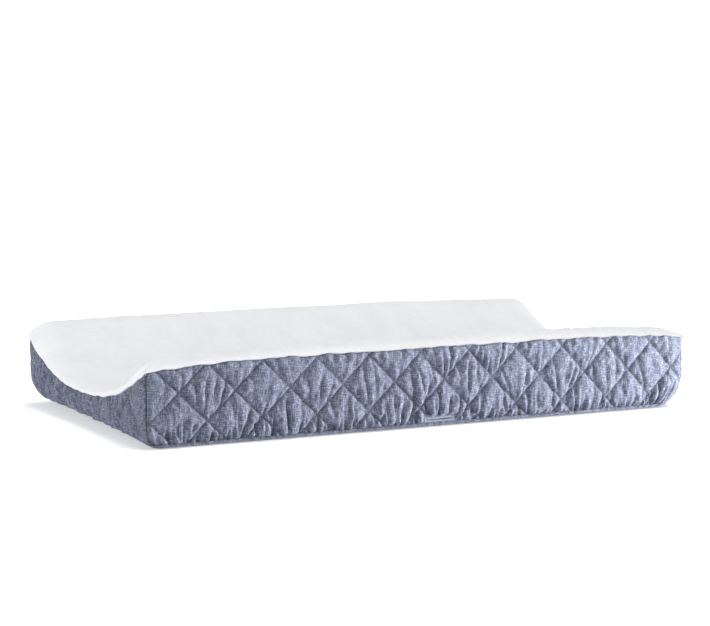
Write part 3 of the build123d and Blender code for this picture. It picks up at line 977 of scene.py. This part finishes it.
# --- plush top ---
PLUSH_SHELL = 3.0
TOP_STEP = 3.6
TOP_EDGE = 40.0  # band of closer grid lines round the edge
TOP_EDGE_LINES = 24
CREST_SOFTEN = 9.0
ROLL_LONG = 26.0  # width of the rolled edge on the long sides
END_FALL = 48.0  # the plush falls gently towards the end seams over this
CREST_END_FALL = 20.0  # but over this much less at the crests
END_RISE = 3.0  # height left to roll over at the end seams
CORNER_RISE = 4.0  # and more at the corners
ROLL_END = (3.0, 0.7)  # and on the ends, more where it falls further


def edge_lines(half, step):
    """Grid lines from edge to edge, closer near the edges, with three turned under beyond each."""
    near = half - TOP_EDGE * (np.arange(TOP_EDGE_LINES) / TOP_EDGE_LINES) ** 1.8
    reach = half - TOP_EDGE
    middle = np.linspace(-reach, reach, int(2 * reach / step) + 1)
    side_lines = np.sort(np.concatenate([near, half + np.array([1.0, 2.0, 3.0])]))
    return np.concatenate([-side_lines[::-1], middle, side_lines])


def round_corners(x, y, half_x, half_y, radius):
    """Move a rectangle's grid points so that its corners are round."""
    u = np.clip((np.abs(x) - half_x + radius) / radius, 0.0, 1.0)
    w = np.clip((np.abs(y) - half_y + radius) / radius, 0.0, 1.0)
    inside = (u > 0) & (w > 0)
    round_x = np.sign(x) * (half_x - radius + radius * u * np.sqrt(1 - w * w / 2))
    round_y = np.sign(y) * (half_y - radius + radius * w * np.sqrt(1 - u * u / 2))
    return np.where(inside, round_x, x), np.where(inside, round_y, y)


def corner_run(x, half):
    """Arc length along the outline for a grid place."""
    u = np.clip((np.abs(x) - half + CORNER) / CORNER, 0.0, 1.0)
    return np.sign(x) * (np.minimum(np.abs(x), half - CORNER) + CORNER * np.arcsin(u / math.sqrt(2)))


def crest_height(x, y):
    """Height of the crest on the nearer long side."""
    t = x / HALF_X
    near = CREST_Z - CREST_DROP["front"] * t**4
    far = CREST_Z - CREST_DROP["back"] * t**4 - FAR_TWIST * t**3
    return np.where(y < 0, near, far)


def crown_height(x, y):
    """Height of the plush before its edges roll over."""
    trough = VALLEY_Z + (CREST_Z - VALLEY_Z) * (np.abs(y) / TROUGH_HALF) ** TROUGH_POWER
    crest = crest_height(x, y) + CREST_SOFTEN * 0.12
    mix = np.clip(1 - np.abs(trough - crest) / CREST_SOFTEN, 0.0, 1.0)
    return np.minimum(trough, crest) - mix**2 * CREST_SOFTEN / 4


def rolled(distance, width):
    """Share of its height that a rolled edge has reached at a distance in from the seam."""
    return np.sqrt(np.clip(1 - (1 - np.clip(distance / width, 0.0, 1.0)) ** 2, 0.0, 1.0))


def crown(lines_x, lines_y, inset=0.0, depth=0.0, relief=True):
    """Grid of points over the top of the pad, inset from the outline and down from the plush."""
    x, y = np.meshgrid(lines_x, lines_y)
    half_x, half_y = HALF_X - inset, HALF_Y - inset
    beyond = np.maximum(np.maximum(np.abs(x) - half_x, np.abs(y) - half_y), 0.0)
    x, y = np.clip(x, -half_x, half_x), np.clip(y, -half_y, half_y)
    full_x, full_y = x * HALF_X / half_x, y * HALF_Y / half_y
    s_x, s_y = corner_run(full_x, HALF_X), corner_run(full_y, HALF_Y)
    long_seam = np.where(y < 0, seam_height("front", s_x), seam_height("back", -s_x))
    end_seam = np.where(x < 0, seam_height("left", -s_y), seam_height("right", s_y))
    height = crown_height(x, y)
    if relief:
        height = height + plush_relief(x, y)
    end_fall = END_FALL - CREST_END_FALL * (np.abs(y) / half_y) ** 4
    from_end = np.clip((half_x - np.abs(x)) / end_fall, 0.0, 1.0)
    end_rise = END_RISE + CORNER_RISE * (np.abs(y) / half_y) ** 6
    height = height - np.maximum(height - end_seam - end_rise, 0.0) * (1 - from_end) ** 2.5
    across = rolled(half_y - np.abs(y), ROLL_LONG)
    along = rolled(half_x - np.abs(x), ROLL_END[0] + ROLL_END[1] * np.maximum(height - end_seam, 0.0))
    long_weight, end_weight = (1 - across) ** 4 + 1e-9, (1 - along) ** 4 + 1e-9
    seam = (long_seam * long_weight + end_seam * end_weight) / (long_weight + end_weight)
    z = seam + (height - seam) * across * along - depth
    px, py = round_corners(x, y, half_x, half_y, max(CORNER - inset, 3.0))
    core_x, core_y = half_x - CORNER, half_y - CORNER
    out_x, out_y = px - np.clip(px, -core_x, core_x), py - np.clip(py, -core_y, core_y)
    length = np.maximum(np.hypot(out_x, out_y), 1e-6)
    px, py = px - out_x / length * beyond * 1.3, py - out_y / length * beyond * 1.3
    px, py = tuck(px, py, z)
    return np.stack([px, py, z - 0.5 * beyond], -1)


def plush_relief(x, y):
    """Soft unevenness of the plush, and the puckers where it is sewn to the sides."""
    soft = 0.3 * ripple(x, y, 150.0, 41) + 0.12 * ripple(x, y, 45.0, 42)
    from_long, from_end = HALF_Y - np.abs(y), HALF_X - np.abs(x)
    sewn = 0.9 * np.exp(-from_long / 11.0) * ripple(x, y, 13.0, 43, 7.0)
    sewn += 0.6 * np.exp(-from_end / 12.0) * ripple(y, x, 15.0, 44, 7.0)
    scallops = np.exp(-(((y + HALF_Y - 20.0) / 13.0) ** 2)) * np.clip(ripple(x, y, 19.0, 45, 4.0), -0.4, 1.5)
    return soft + sewn + scallops


def make_plush_top():
    """The plush panel over the trough and both crests."""
    lines_x, lines_y = edge_lines(HALF_X, TOP_STEP), edge_lines(HALF_Y, TOP_STEP)
    top = crown(lines_x, lines_y)
    uv = np.stack(np.meshgrid(lines_x, lines_y), -1) * MM
    piece = add_shell("plush_top", top, behind(top, PLUSH_SHELL), uv, LOOKS["plush"], "plush",
                      replaced=["cover_top_panel"])


make_plush_top()


# --- hem turned under the pad ---
HEM_CLOTH = 1.1
HEM_STEP = 2.2  # between grid lines
TOPSTITCH_OUT = -1.35  # from the outline
TOPSTITCH_Z = 3.9
# From the turned-under top edge round the free edge, under the pad and up the lip: out from the
# outline, share of the way to the opening, and height.
HEM_SECTION = (
    (-6.0, 0.12, 6.3), (-6.0, 0.5, 6.4), (0.0, 0.86, 6.7), (0.0, 0.97, 5.6), (0.0, 1.0, 3.2),
    (0.0, 0.97, 0.9), (0.0, 0.86, 0.1), (0.0, 0.5, 0.05), (-3.4, 0.1, 0.0), (-3.0, 0.0, 0.2),
    (-1.8, 0.0, 1.4), (-1.5, 0.0, 3.2), (-2.0, 0.0, 4.8), (-3.6, 0.0, 5.4), (-5.0, 0.0, 5.3),
)


def spline(points, count):
    """A smooth open line through points, as evenly counted places along it."""
    points = np.array(points, float)
    padded_points = np.concatenate([[2 * points[0] - points[1]], points, [2 * points[-1] - points[-2]]])
    t = np.linspace(0, len(points) - 1, count)
    k = np.minimum(t.astype(int), len(points) - 2)
    f = (t - k)[:, None]
    a, b, c, d = (padded_points[k + j] for j in range(4))
    return 0.5 * (2 * b + (c - a) * f + (2 * a - 5 * b + 4 * c - d) * f**2 + (3 * b - a - 3 * c + d) * f**3)


def make_hem(side):
    """One side's hem: cloth folded under the pad and back on itself round the elastic."""
    section = spline(HEM_SECTION, 64)
    run = half_run(side)
    s_lines = np.linspace(-run, run, int(2 * run / HEM_STEP))
    out, share, z = (column[:, None] + 0 * s_lines[None, :] for column in section.T)
    s = s_lines[None, :] + 0 * out
    seed = SIM_SEEDS[side] + 60
    gathers = ripple(s, 0 * s, 11.0, seed) + 0.5 * ripple(s, 0 * s, 5.5, seed + 1)
    lip = np.clip(1 - share * 12, 0.0, 1.0)
    under = np.clip(share * 1.2, 0.0, 1.0)
    x, y = outline(side, s, out + 0.5 * lip * gathers * np.clip(z / 3.0, 0.0, 1.0))
    x, y = tuck(x, y, z)
    inner_x, inner_y = opening_outline(side, np.clip(s / run, -1.0, 1.0))
    share = share * (1 + 0.016 * gathers * under)
    z = z + np.where(z > 3.2, 0.28 * under * gathers, 0.38 * under * (gathers + 1.6))
    points = np.stack([x + (inner_x - x) * share, y + (inner_y - y) * share, np.clip(z, 0.0, 7.5)], -1)
    lengths = np.linalg.norm(np.diff(points.mean(1), axis=0), axis=1)
    travel = np.concatenate([[0], np.cumsum(lengths)])[:, None] + 0 * s
    uv = np.stack([s, travel], -1) * MM
    hem = add_shell(f"{side}_turned_hem", points, behind(points, HEM_CLOTH), uv, LOOKS["hem"], "chambray",
                    replaced=[f"{side}_hem"])
    s = np.arange(-run + 2, run - 4, STITCH_PITCH)
    starts, ends = (place(side, at, TOPSTITCH_Z, TOPSTITCH_OUT) for at in (s, s + STITCH_LENGTH))
    normals = outwards(side, s, TOPSTITCH_Z, TOPSTITCH_OUT)
    topstitch = add_stitches(f"{side}_hem_topstitch", starts, ends, normals, THREAD, LOOKS["quilt_thread"])


for side in SIDES:
    make_hem(side)


def make_elastic():
    """The elastic band inside the hem, in one closed ring."""
    low, high = (corner[2] for corner in box_mm("hem_elastic"))
    f = np.linspace(-1, 1, 160, endpoint=False)
    x, y = np.concatenate([opening_outline(side, f) for side in SIDES], axis=1)
    tangent = np.stack([np.roll(x, -1) - np.roll(x, 1), np.roll(y, -1) - np.roll(y, 1)], -1)
    tangent /= np.linalg.norm(tangent, axis=1, keepdims=True)
    travel = np.cumsum(np.hypot(np.roll(x, -1) - x, np.roll(y, -1) - y))[:, None]
    widths = ELASTIC_WIDTH * np.array([0.0, 0.5, 1.0, 1.0, 0.5, 0.0])
    grow = ELASTIC_EDGE - ELASTIC_WIDTH + widths
    z = np.repeat((low, high), 3) + 0.12 * np.sin(travel / 2.2)
    points = np.stack([x[:, None] + tangent[:, 1:] * grow, y[:, None] - tangent[:, :1] * grow, z], -1)
    index = np.arange(z.size).reshape(z.shape)
    ahead, beside = np.roll(index, -1, 0), np.roll(index, -1, 1)
    faces = np.stack([index, ahead, np.roll(ahead, -1, 1), beside], -1).reshape(-1, 4)
    uv = np.stack(np.broadcast_arrays(widths, travel), -1) * MM
    piece = add_piece("hem_elastic_band", points, faces, uv, LOOKS["elastic"], "elastic",
                      replaced=["hem_elastic"])


make_elastic()


# --- inner pad ---
SKIN_INSET = 8.0
SKIN = 1.0
SKIN_DEPTH = 6.6  # top of the skin below the surface of the plush
FOAM_INSET = 9.4
FOAM_DEPTH = 8.6
INNER_STEP = 7.0
CHANNEL = 60.0  # quilting of the wipe-clean sheet
CHANNEL_DEPTH = 0.35
FLOOR_GAP = 0.4  # between the foam and the base
INNER_EDGE = 24.0  # band of closer grid lines round the edge
BOXING_STEP = 6.0
BOXING_ROWS = 16
BOXING_DROP = 4.5  # top of the side walls below the seam
BOXING_RISE = 0.2  # and their foot above the base
BASE_INSET = 9.5
BASE_GRID = (150, 84)


def inner_grid(inset):
    """Grid lines along and across the inner pad, closer at its edges, and the same as cloth directions."""
    lines = []
    for half in (HALF_X - inset, HALF_Y - inset):
        near = half - INNER_EDGE * (np.arange(12) / 12) ** 1.6
        reach = half - INNER_EDGE
        middle = np.linspace(-reach, reach, int(2 * reach / INNER_STEP) + 1)
        lines.append(np.concatenate([-near, middle, near[::-1]]))
    return *lines, np.stack(np.meshgrid(*lines), -1) * MM


def level_points(grid_x, grid_y, inset, z):
    """A level grid of points with the pad's round corners and drawn-in ends."""
    x, y = round_corners(grid_x, grid_y, HALF_X - inset, HALF_Y - inset, 3.0)
    x, y = tuck(x, y, z + 0 * x)
    return np.stack([x, y, z + 0 * x], -1)


def make_foam():
    """The contour-cut foam block."""
    lines_x, lines_y, uv = inner_grid(FOAM_INSET)
    top = crown(lines_x, lines_y, FOAM_INSET, FOAM_DEPTH, relief=False)
    floor = level_points(*np.meshgrid(lines_x, lines_y), FOAM_INSET, BASE_Z + SKIN + FLOOR_GAP)
    floor[..., 2] += 0.15 * (1 + ripple(floor[..., 0], floor[..., 1], 60.0, 71))
    foam = add_shell("foam_pad", top, floor, uv, LOOKS["foam"], "foam", replaced=["foam_core"])
    return foam


def make_top_skin():
    """The wipe-clean sheet over the foam, quilted in diamonds."""
    lines_x, lines_y, uv = inner_grid(SKIN_INSET)
    sheet = crown(lines_x, lines_y, SKIN_INSET, SKIN_DEPTH, relief=False)
    x, y = np.meshgrid(lines_x, lines_y)
    cells = [np.abs(u - np.round(u)) for u in ((x + y) / CHANNEL, (x - y) / CHANNEL)]
    sheet[..., 2] -= CHANNEL_DEPTH * np.exp(-((np.minimum(*cells) * CHANNEL / 3.0) ** 2))
    skin = add_shell("pad_top_skin", sheet, behind(sheet, SKIN * 0.9), uv, LOOKS["vinyl"], "wipe_clean_sheet",
                     replaced=["inner_top_sheet"])


def make_boxing(side):
    """One side wall of the wipe-clean cover."""
    run = half_run(side)
    s = np.linspace(-run, run, int(2 * run / BOXING_STEP))[None, :].repeat(BOXING_ROWS, 0)
    v = np.linspace(0, 1, BOXING_ROWS)[:, None]
    high, foot = seam_height(side, s) - BOXING_DROP, BASE_Z + SKIN + BOXING_RISE
    z = foot + v * (high - foot)
    swell = 0.3 * np.sin(math.pi * v) * (1 + 0.5 * ripple(s, z, 70.0, 74))
    wall = place(side, s, z, -SKIN_INSET + 0.4 * swell)
    boxing = add_shell(f"{side}_pad_boxing", wall, behind(wall, SKIN * 0.8), np.stack([s, z], -1) * MM,
                       LOOKS["vinyl"], "wipe_clean_sheet", replaced=[f"inner_{side}_boxing"])
    float((high[0] - BASE_Z).mean()) * 2 * run * MM * MM


def make_base():
    """The non-slip underside and its rubber dots."""
    half_x, half_y = HALF_X - BASE_INSET, HALF_Y - BASE_INSET
    grid = np.meshgrid(*(np.linspace(-half, half, count) for half, count in zip((half_x, half_y), BASE_GRID)))
    lower = level_points(*grid, BASE_INSET, BASE_Z)
    lower[..., 2] += 0.12 * (1 + ripple(lower[..., 0], lower[..., 1], 55.0, 72))
    base = add_shell("pad_base_skin", lower + (0.0, 0.0, SKIN * 0.7), lower, np.stack(grid, -1) * MM,
                     LOOKS["grip"], "grip_base", replaced=["base_panel"])
    make_grip_dots()


DOT_PITCH = 15.0
DOT_RADIUS = 2.2
DOT_HEIGHT = 0.55
DOT_SPOKES = 8
DOT_RINGS = ((1.0, -0.25), (0.92, 0.25), (0.62, 0.8), (0.2, 1.0))  # share of its radius, and of its height


def make_grip_dots():
    """Rubber dots in staggered rows on the base, except where the strap tabs are sewn."""
    covered = [box_mm(f"{tab}_tab") for tab in ("front_belt", "back_belt", "left_anchor", "right_anchor")]
    centres = []
    for row, y in enumerate(np.arange(-(OPENING[1] + 12), OPENING[1] + 13, DOT_PITCH * math.sqrt(3) / 2)):
        for x in np.arange(-(OPENING[0] + 5), OPENING[0] + 6, DOT_PITCH) + (row % 2) * DOT_PITCH / 2:
            beyond = [max(low[0] - x, x - high[0], low[1] - y, y - high[1]) for low, high in covered]
            if min(beyond) > DOT_RADIUS:
                centres.append((x, y))
    turns = 2 * math.pi * np.arange(DOT_SPOKES) / DOT_SPOKES
    circle = DOT_RADIUS * np.stack([np.cos(turns), np.sin(turns), 0 * turns], -1)
    dots = np.array([(*centre, BASE_Z) for centre in centres])[:, None]
    points = np.stack([dots + share * circle - (0.0, 0.0, DOT_HEIGHT * drop) for share, drop in DOT_RINGS], 1)
    return add_piece("base_grip_dots", points, ring_faces(points.shape[:3]), None, LOOKS["grip_dots"],
                     "grip_base")


foam = make_foam()
make_top_skin()
for side in SIDES:
    make_boxing(side)
make_base()


# --- restraint belt and anchor straps ---
WEBBING = 1.2
STRAP_Z = 5.7  # where each strap turns down from its tab
BELT_WIDTH = 38.0
BELT_HINGE = 150.0
BELT_FOLDS = (60.0, 140.0)  # inner and outer
BELT_PITCH = 2.0
BELT_TAB = 20.0  # length
BAR_Y = 45.0
BAR_LOOP = 2.4
SEWN_TAIL = 8.0
ANCHOR_WIDTH = 25.0
ANCHOR_HINGE = 160.0
ANCHOR_BEND = (172.0, 198.0)
ANCHOR_LOW = 1.8
ANCHOR_BEND_RADIUS = 12.0
ANCHOR_HOLE = 300.0
ANCHOR_HOLE_RADIUS = 4.1
ANCHOR_END = 318.0
ANCHOR_TAB = 30.0  # length
BOX_PITCH = 2.6  # stitches of the tabs' box stitch
BOX_THREAD = 0.28  # radius


def arc(centre, radius, start, end, count=10):
    """Points round part of a circle, by angles in degrees."""
    turns = np.radians(np.linspace(start, end, count))
    return [(centre[0] + radius * math.cos(t), centre[1] + radius * math.sin(t)) for t in turns]


def run_of(points, step=2.5):
    """Add points along the straight runs of a route."""
    dense = [np.array(points[0], float)]
    for point in points[1:]:
        gap = np.array(point, float) - dense[-1]
        count = max(int(np.hypot(*gap) / step), 1)
        start = dense[-1]
        dense += [start + gap * (k + 1) / count for k in range(count)]
    return np.array(dense)


def belt_route():
    """Middle line of one belt half, as places out from the pad's middle and heights."""
    levels = [STRAP_Z - BELT_PITCH * layer for layer in range(3)]
    turn = BELT_PITCH / 2
    inner, outer = BELT_FOLDS
    route = [(BELT_HINGE, levels[0])]
    route += arc((inner, levels[0] - turn), turn, 90, 270)
    route += arc((outer, levels[1] - turn), turn, 90, -90)
    route += arc((BAR_Y, levels[2] + BAR_LOOP), BAR_LOOP, 270, 90, 16)
    route.append((BAR_Y + SEWN_TAIL, levels[2] + 2 * BAR_LOOP))
    return run_of(route)


def anchor_route():
    """Middle line of one anchor strap, as places out from the pad's middle and heights."""
    near, far = ANCHOR_BEND
    slope = math.atan2(STRAP_Z - ANCHOR_LOW, far - near)
    back = ANCHOR_BEND_RADIUS * math.tan(slope / 2)
    turn = math.degrees(slope)
    route = [(ANCHOR_HINGE, STRAP_Z)]
    route += arc((near - back, STRAP_Z - ANCHOR_BEND_RADIUS), ANCHOR_BEND_RADIUS, 90, 90 - turn, 6)
    route += arc((far + back, ANCHOR_LOW + ANCHOR_BEND_RADIUS), ANCHOR_BEND_RADIUS, 270 - turn, 270, 6)
    route.append((ANCHOR_END, ANCHOR_LOW))
    return run_of(route)


def ribbon(route, width, thickness=WEBBING, columns=9):
    """Grids of the two faces of a strap along a route, as (along, across, height)."""
    tangent = np.gradient(route, axis=0)
    tangent /= np.linalg.norm(tangent, axis=1, keepdims=True)
    normal = np.stack([-tangent[:, 1], tangent[:, 0]], -1)
    across = width / 2 * np.sin(np.linspace(-math.pi / 2, math.pi / 2, columns))
    selvage = thickness / 2 * (0.45 + 0.55 * np.sqrt(np.clip(1 - (np.abs(across) / (width / 2)) ** 12, 0, 1)))
    faces = []
    for face in (1, -1):
        offset = face * selvage[None, :]
        along = route[:, None, 0] + normal[:, None, 0] * offset
        height = route[:, None, 1] + normal[:, None, 1] * offset
        faces.append(np.stack([along, across[None, :] + 0 * along, height], -1))
    travel = np.concatenate([[0], np.cumsum(np.linalg.norm(np.diff(route, axis=0), axis=1))])
    uv = np.stack(np.broadcast_arrays(across[None, :], travel[:, None]), -1) * MM
    return faces[0], faces[1], uv, travel


def along_y(sign):
    """Place (along, across, height) points on a strap that runs across the pad."""
    return lambda p: np.stack([BELT_X + p[..., 1], sign * p[..., 0], p[..., 2]], -1)


def along_x(sign):
    """Place (along, across, height) points on a strap that runs along the pad."""
    return lambda p: np.stack([sign * p[..., 0], p[..., 1], p[..., 2]], -1)


def box_stitch(name, centre, length, width, level, placed, body):
    """A sewn rectangle with its two diagonals, on the underside of a strap."""
    a, b, c, d = np.array([(-1, -1), (1, -1), (1, 1), (-1, 1)]) * (length / 2, width / 2)
    starts, ends = [], []
    for start, end in ((a, b), (b, c), (c, d), (d, a), (a, c), (b, d)):
        count = max(int(np.hypot(*(end - start)) / BOX_PITCH), 1)
        for k in range(count):
            starts.append((*start + (end - start) * (k + 0.12) / count, 0.0))
            ends.append((*start + (end - start) * (k + 0.88) / count, 0.0))
    starts, ends = (placed(np.array(points) + (centre, 0.0, level)) for points in (starts, ends))
    normals = np.tile((0.0, 0.0, -1.0), (len(starts), 1))
    return add_stitches(name, starts, ends, normals, BOX_THREAD, LOOKS["white_thread"], body)


def make_strap(name, route, width, placed, body, replaced, hole=None):
    """A woven strap along a route, with its ends heat-cut square."""
    upper, lower, uv, travel = ribbon(route, width, columns=13 if hole else 9)
    keep = None
    if hole:
        middle = (upper[1:, 1:] + upper[:-1, :-1]) / 2
        keep = np.hypot(middle[..., 0] - hole[0], middle[..., 1]) > hole[1]
    strap = add_shell(name, placed(upper), placed(lower), uv, LOOKS["webbing"], "belt_webbing", keep=keep,
                      body=body, replaced=[replaced])
    return strap


def make_tab(name, start, end, width, placed, replaced):
    """A short piece of webbing sewn flat under the pad, with its box stitch."""
    low, high = (corner[2] for corner in box_mm(replaced))
    length, middle = end - start, (low + high) / 2
    upper, lower, uv, _ = ribbon(run_of([(start, middle), (end, middle)]), width)
    tab = add_shell(name, placed(upper), placed(lower), uv, LOOKS["webbing"], "belt_webbing",
                    replaced=[replaced])
    stitches = box_stitch(f"{name}_stitching", (start + end) / 2, length - 6, width - 7, low - 0.05, placed,
                          "pad")


for side, sign in (("front", -1), ("back", 1)):
    make_strap(f"{side}_belt_strap", belt_route(), BELT_WIDTH, along_y(sign), f"{side}_belt",
               f"{side}_belt_webbing")
    make_tab(f"{side}_belt_sewn_tab", BELT_HINGE, BELT_HINGE + BELT_TAB, BELT_WIDTH, along_y(sign),
             f"{side}_belt_tab")
for side, sign in (("left", -1), ("right", 1)):
    make_strap(f"{side}_anchor_strap_web", anchor_route(), ANCHOR_WIDTH, along_x(sign),
               f"{side}_anchor_strap", f"{side}_anchor_webbing", hole=(ANCHOR_HOLE, ANCHOR_HOLE_RADIUS))
    make_tab(f"{side}_anchor_sewn_tab", ANCHOR_HINGE - ANCHOR_TAB, ANCHOR_HINGE, ANCHOR_WIDTH, along_x(sign),
             f"{side}_anchor_tab")

CAD_LOOKS = {
    "plastic": ("buckle_socket", "buckle_plug", "buckle_left_arm", "buckle_right_arm"),
    "brass": ("left_anchor_eyelet", "right_anchor_eyelet"),
}
for look_name, node_names in CAD_LOOKS.items():
    for node_name in node_names:
        node = frame["nodes"][node_name]
        if not node.material_slots:
            node.data.materials.append(LOOKS[look_name])
        for slot in node.material_slots:
            slot.material = LOOKS[look_name]


# --- stage, lights and camera ---
FLOOR_RADIUS = 9.0  # metres
FLOOR_FLAT = 6.0  # it is level out to here
FLOOR_RINGS = 40
FLOOR_SPOKES = 96


def add_object(name, data):
    """Add an object to the scene."""
    made = bpy.data.objects.new(name, data)
    bpy.context.collection.objects.link(made)
    return made


def make_stage():
    """A plain pale floor that runs up into a backdrop all round."""
    radii = np.linspace(0, FLOOR_RADIUS, FLOOR_RINGS)[1:]
    rise = np.where(radii > FLOOR_FLAT, 0.35 * (radii - FLOOR_FLAT) ** 2, 0.0)
    turns = np.linspace(0, 2 * math.pi, FLOOR_SPOKES, endpoint=False)
    points = [(r * math.cos(t), r * math.sin(t), h) for r, h in zip(radii, rise) for t in turns]
    faces = [(len(points), k, (k + 1) % FLOOR_SPOKES) for k in range(FLOOR_SPOKES)]
    for inner in range(0, len(points) - FLOOR_SPOKES, FLOOR_SPOKES):
        for k in range(FLOOR_SPOKES):
            a, b = inner + k, inner + (k + 1) % FLOOR_SPOKES
            faces.append((a, a + FLOOR_SPOKES, b + FLOOR_SPOKES, b))
    mesh = bpy.data.meshes.new("floor")
    mesh.from_pydata(points + [(0.0, 0.0, 0.0)], [], faces)
    mesh.shade_smooth()
    look = Look("floor_paint", 0.9, Specular_IOR_Level=0.1, Emission_Strength=0.42)
    look.paint(look.noise(False, 6.0), (0.3, 0.93), (0.7, 0.95))
    mesh.materials.append(look.material)
    floor = add_object("floor", mesh)
    floor.location.z = -0.5 * MM
    return floor


def add_sun():
    """A large soft lamp far off to the front and right."""
    light = bpy.data.lights.new("sky", "SUN")
    light.energy = SUN_LIGHT
    light.angle = SUN_SIZE
    flat = math.cos(SUN_ELEVATION)
    towards = (flat * math.sin(SUN_AZIMUTH), -flat * math.cos(SUN_AZIMUTH), math.sin(SUN_ELEVATION))
    add_object("sky", light).rotation_euler = mathutils.Vector(towards).to_track_quat("Z", "Y").to_euler()


def add_lamp(name, place_at, size, power, colour=(1.0, 1.0, 1.0)):
    """A soft rectangular lamp aimed at the pad."""
    light = bpy.data.lights.new(name, "AREA")
    light.shape = "RECTANGLE"
    light.size, light.size_y = size
    light.energy = power
    light.color = colour
    lamp = add_object(name, light)
    lamp.location = place_at
    lamp.visible_camera = False
    lamp.rotation_euler = mathutils.Vector(place_at).to_track_quat("Z", "Y").to_euler()
    return lamp


def shade_from(lamp, *pieces):
    """Keep a lamp's light off some pieces, as a card beside it would."""
    shaded = bpy.data.collections.new(f"shaded from {lamp.name}")
    for piece in pieces:
        shaded.objects.link(piece)
    for entry in shaded.collection_objects:
        entry.light_linking.link_state = "EXCLUDE"
    lamp.light_linking.receiver_collection = shaded


floor = make_stage()
world = bpy.data.worlds.new("studio")
world.use_nodes = True
backdrop = world.node_tree.nodes["Background"].inputs
backdrop["Color"].default_value = (0.97, 0.98, 1.0, 1.0)
backdrop["Strength"].default_value = WORLD_LIGHT
bpy.context.scene.world = world
add_sun()
off_key = [floor, bpy.data.objects["plush_top"]]
right_end = [o for o in bpy.data.objects if o.name.startswith("right_") and o.type == "MESH"]
shade_from(add_lamp("key", KEY_PLACE, KEY_SIZE, KEY_POWER), *off_key)
shade_from(add_lamp("rake", KEY_PLACE, KEY_SIZE, RAKE_POWER), *off_key, *right_end)
add_lamp("fill", FILL_PLACE, FILL_SIZE, FILL_POWER, (0.86, 0.93, 1.0))

turn, lift = math.radians(CAMERA_AZIMUTH), math.radians(CAMERA_ELEVATION)
camera_data = bpy.data.cameras.new("camera")
camera_data.lens = CAMERA_LENS
camera_data.sensor_width = 36.0
camera = add_object("camera", camera_data)
reach = mathutils.Vector((math.sin(turn) * math.cos(lift), -math.cos(turn) * math.cos(lift), math.sin(lift)))
camera.location = mathutils.Vector(CAMERA_TARGET) + CAMERA_DISTANCE * reach
camera.rotation_euler = (-reach).to_track_quat("-Z", "Y").to_euler()
bpy.context.scene.camera = camera
bpy.context.scene.view_settings.view_transform = "Standard"
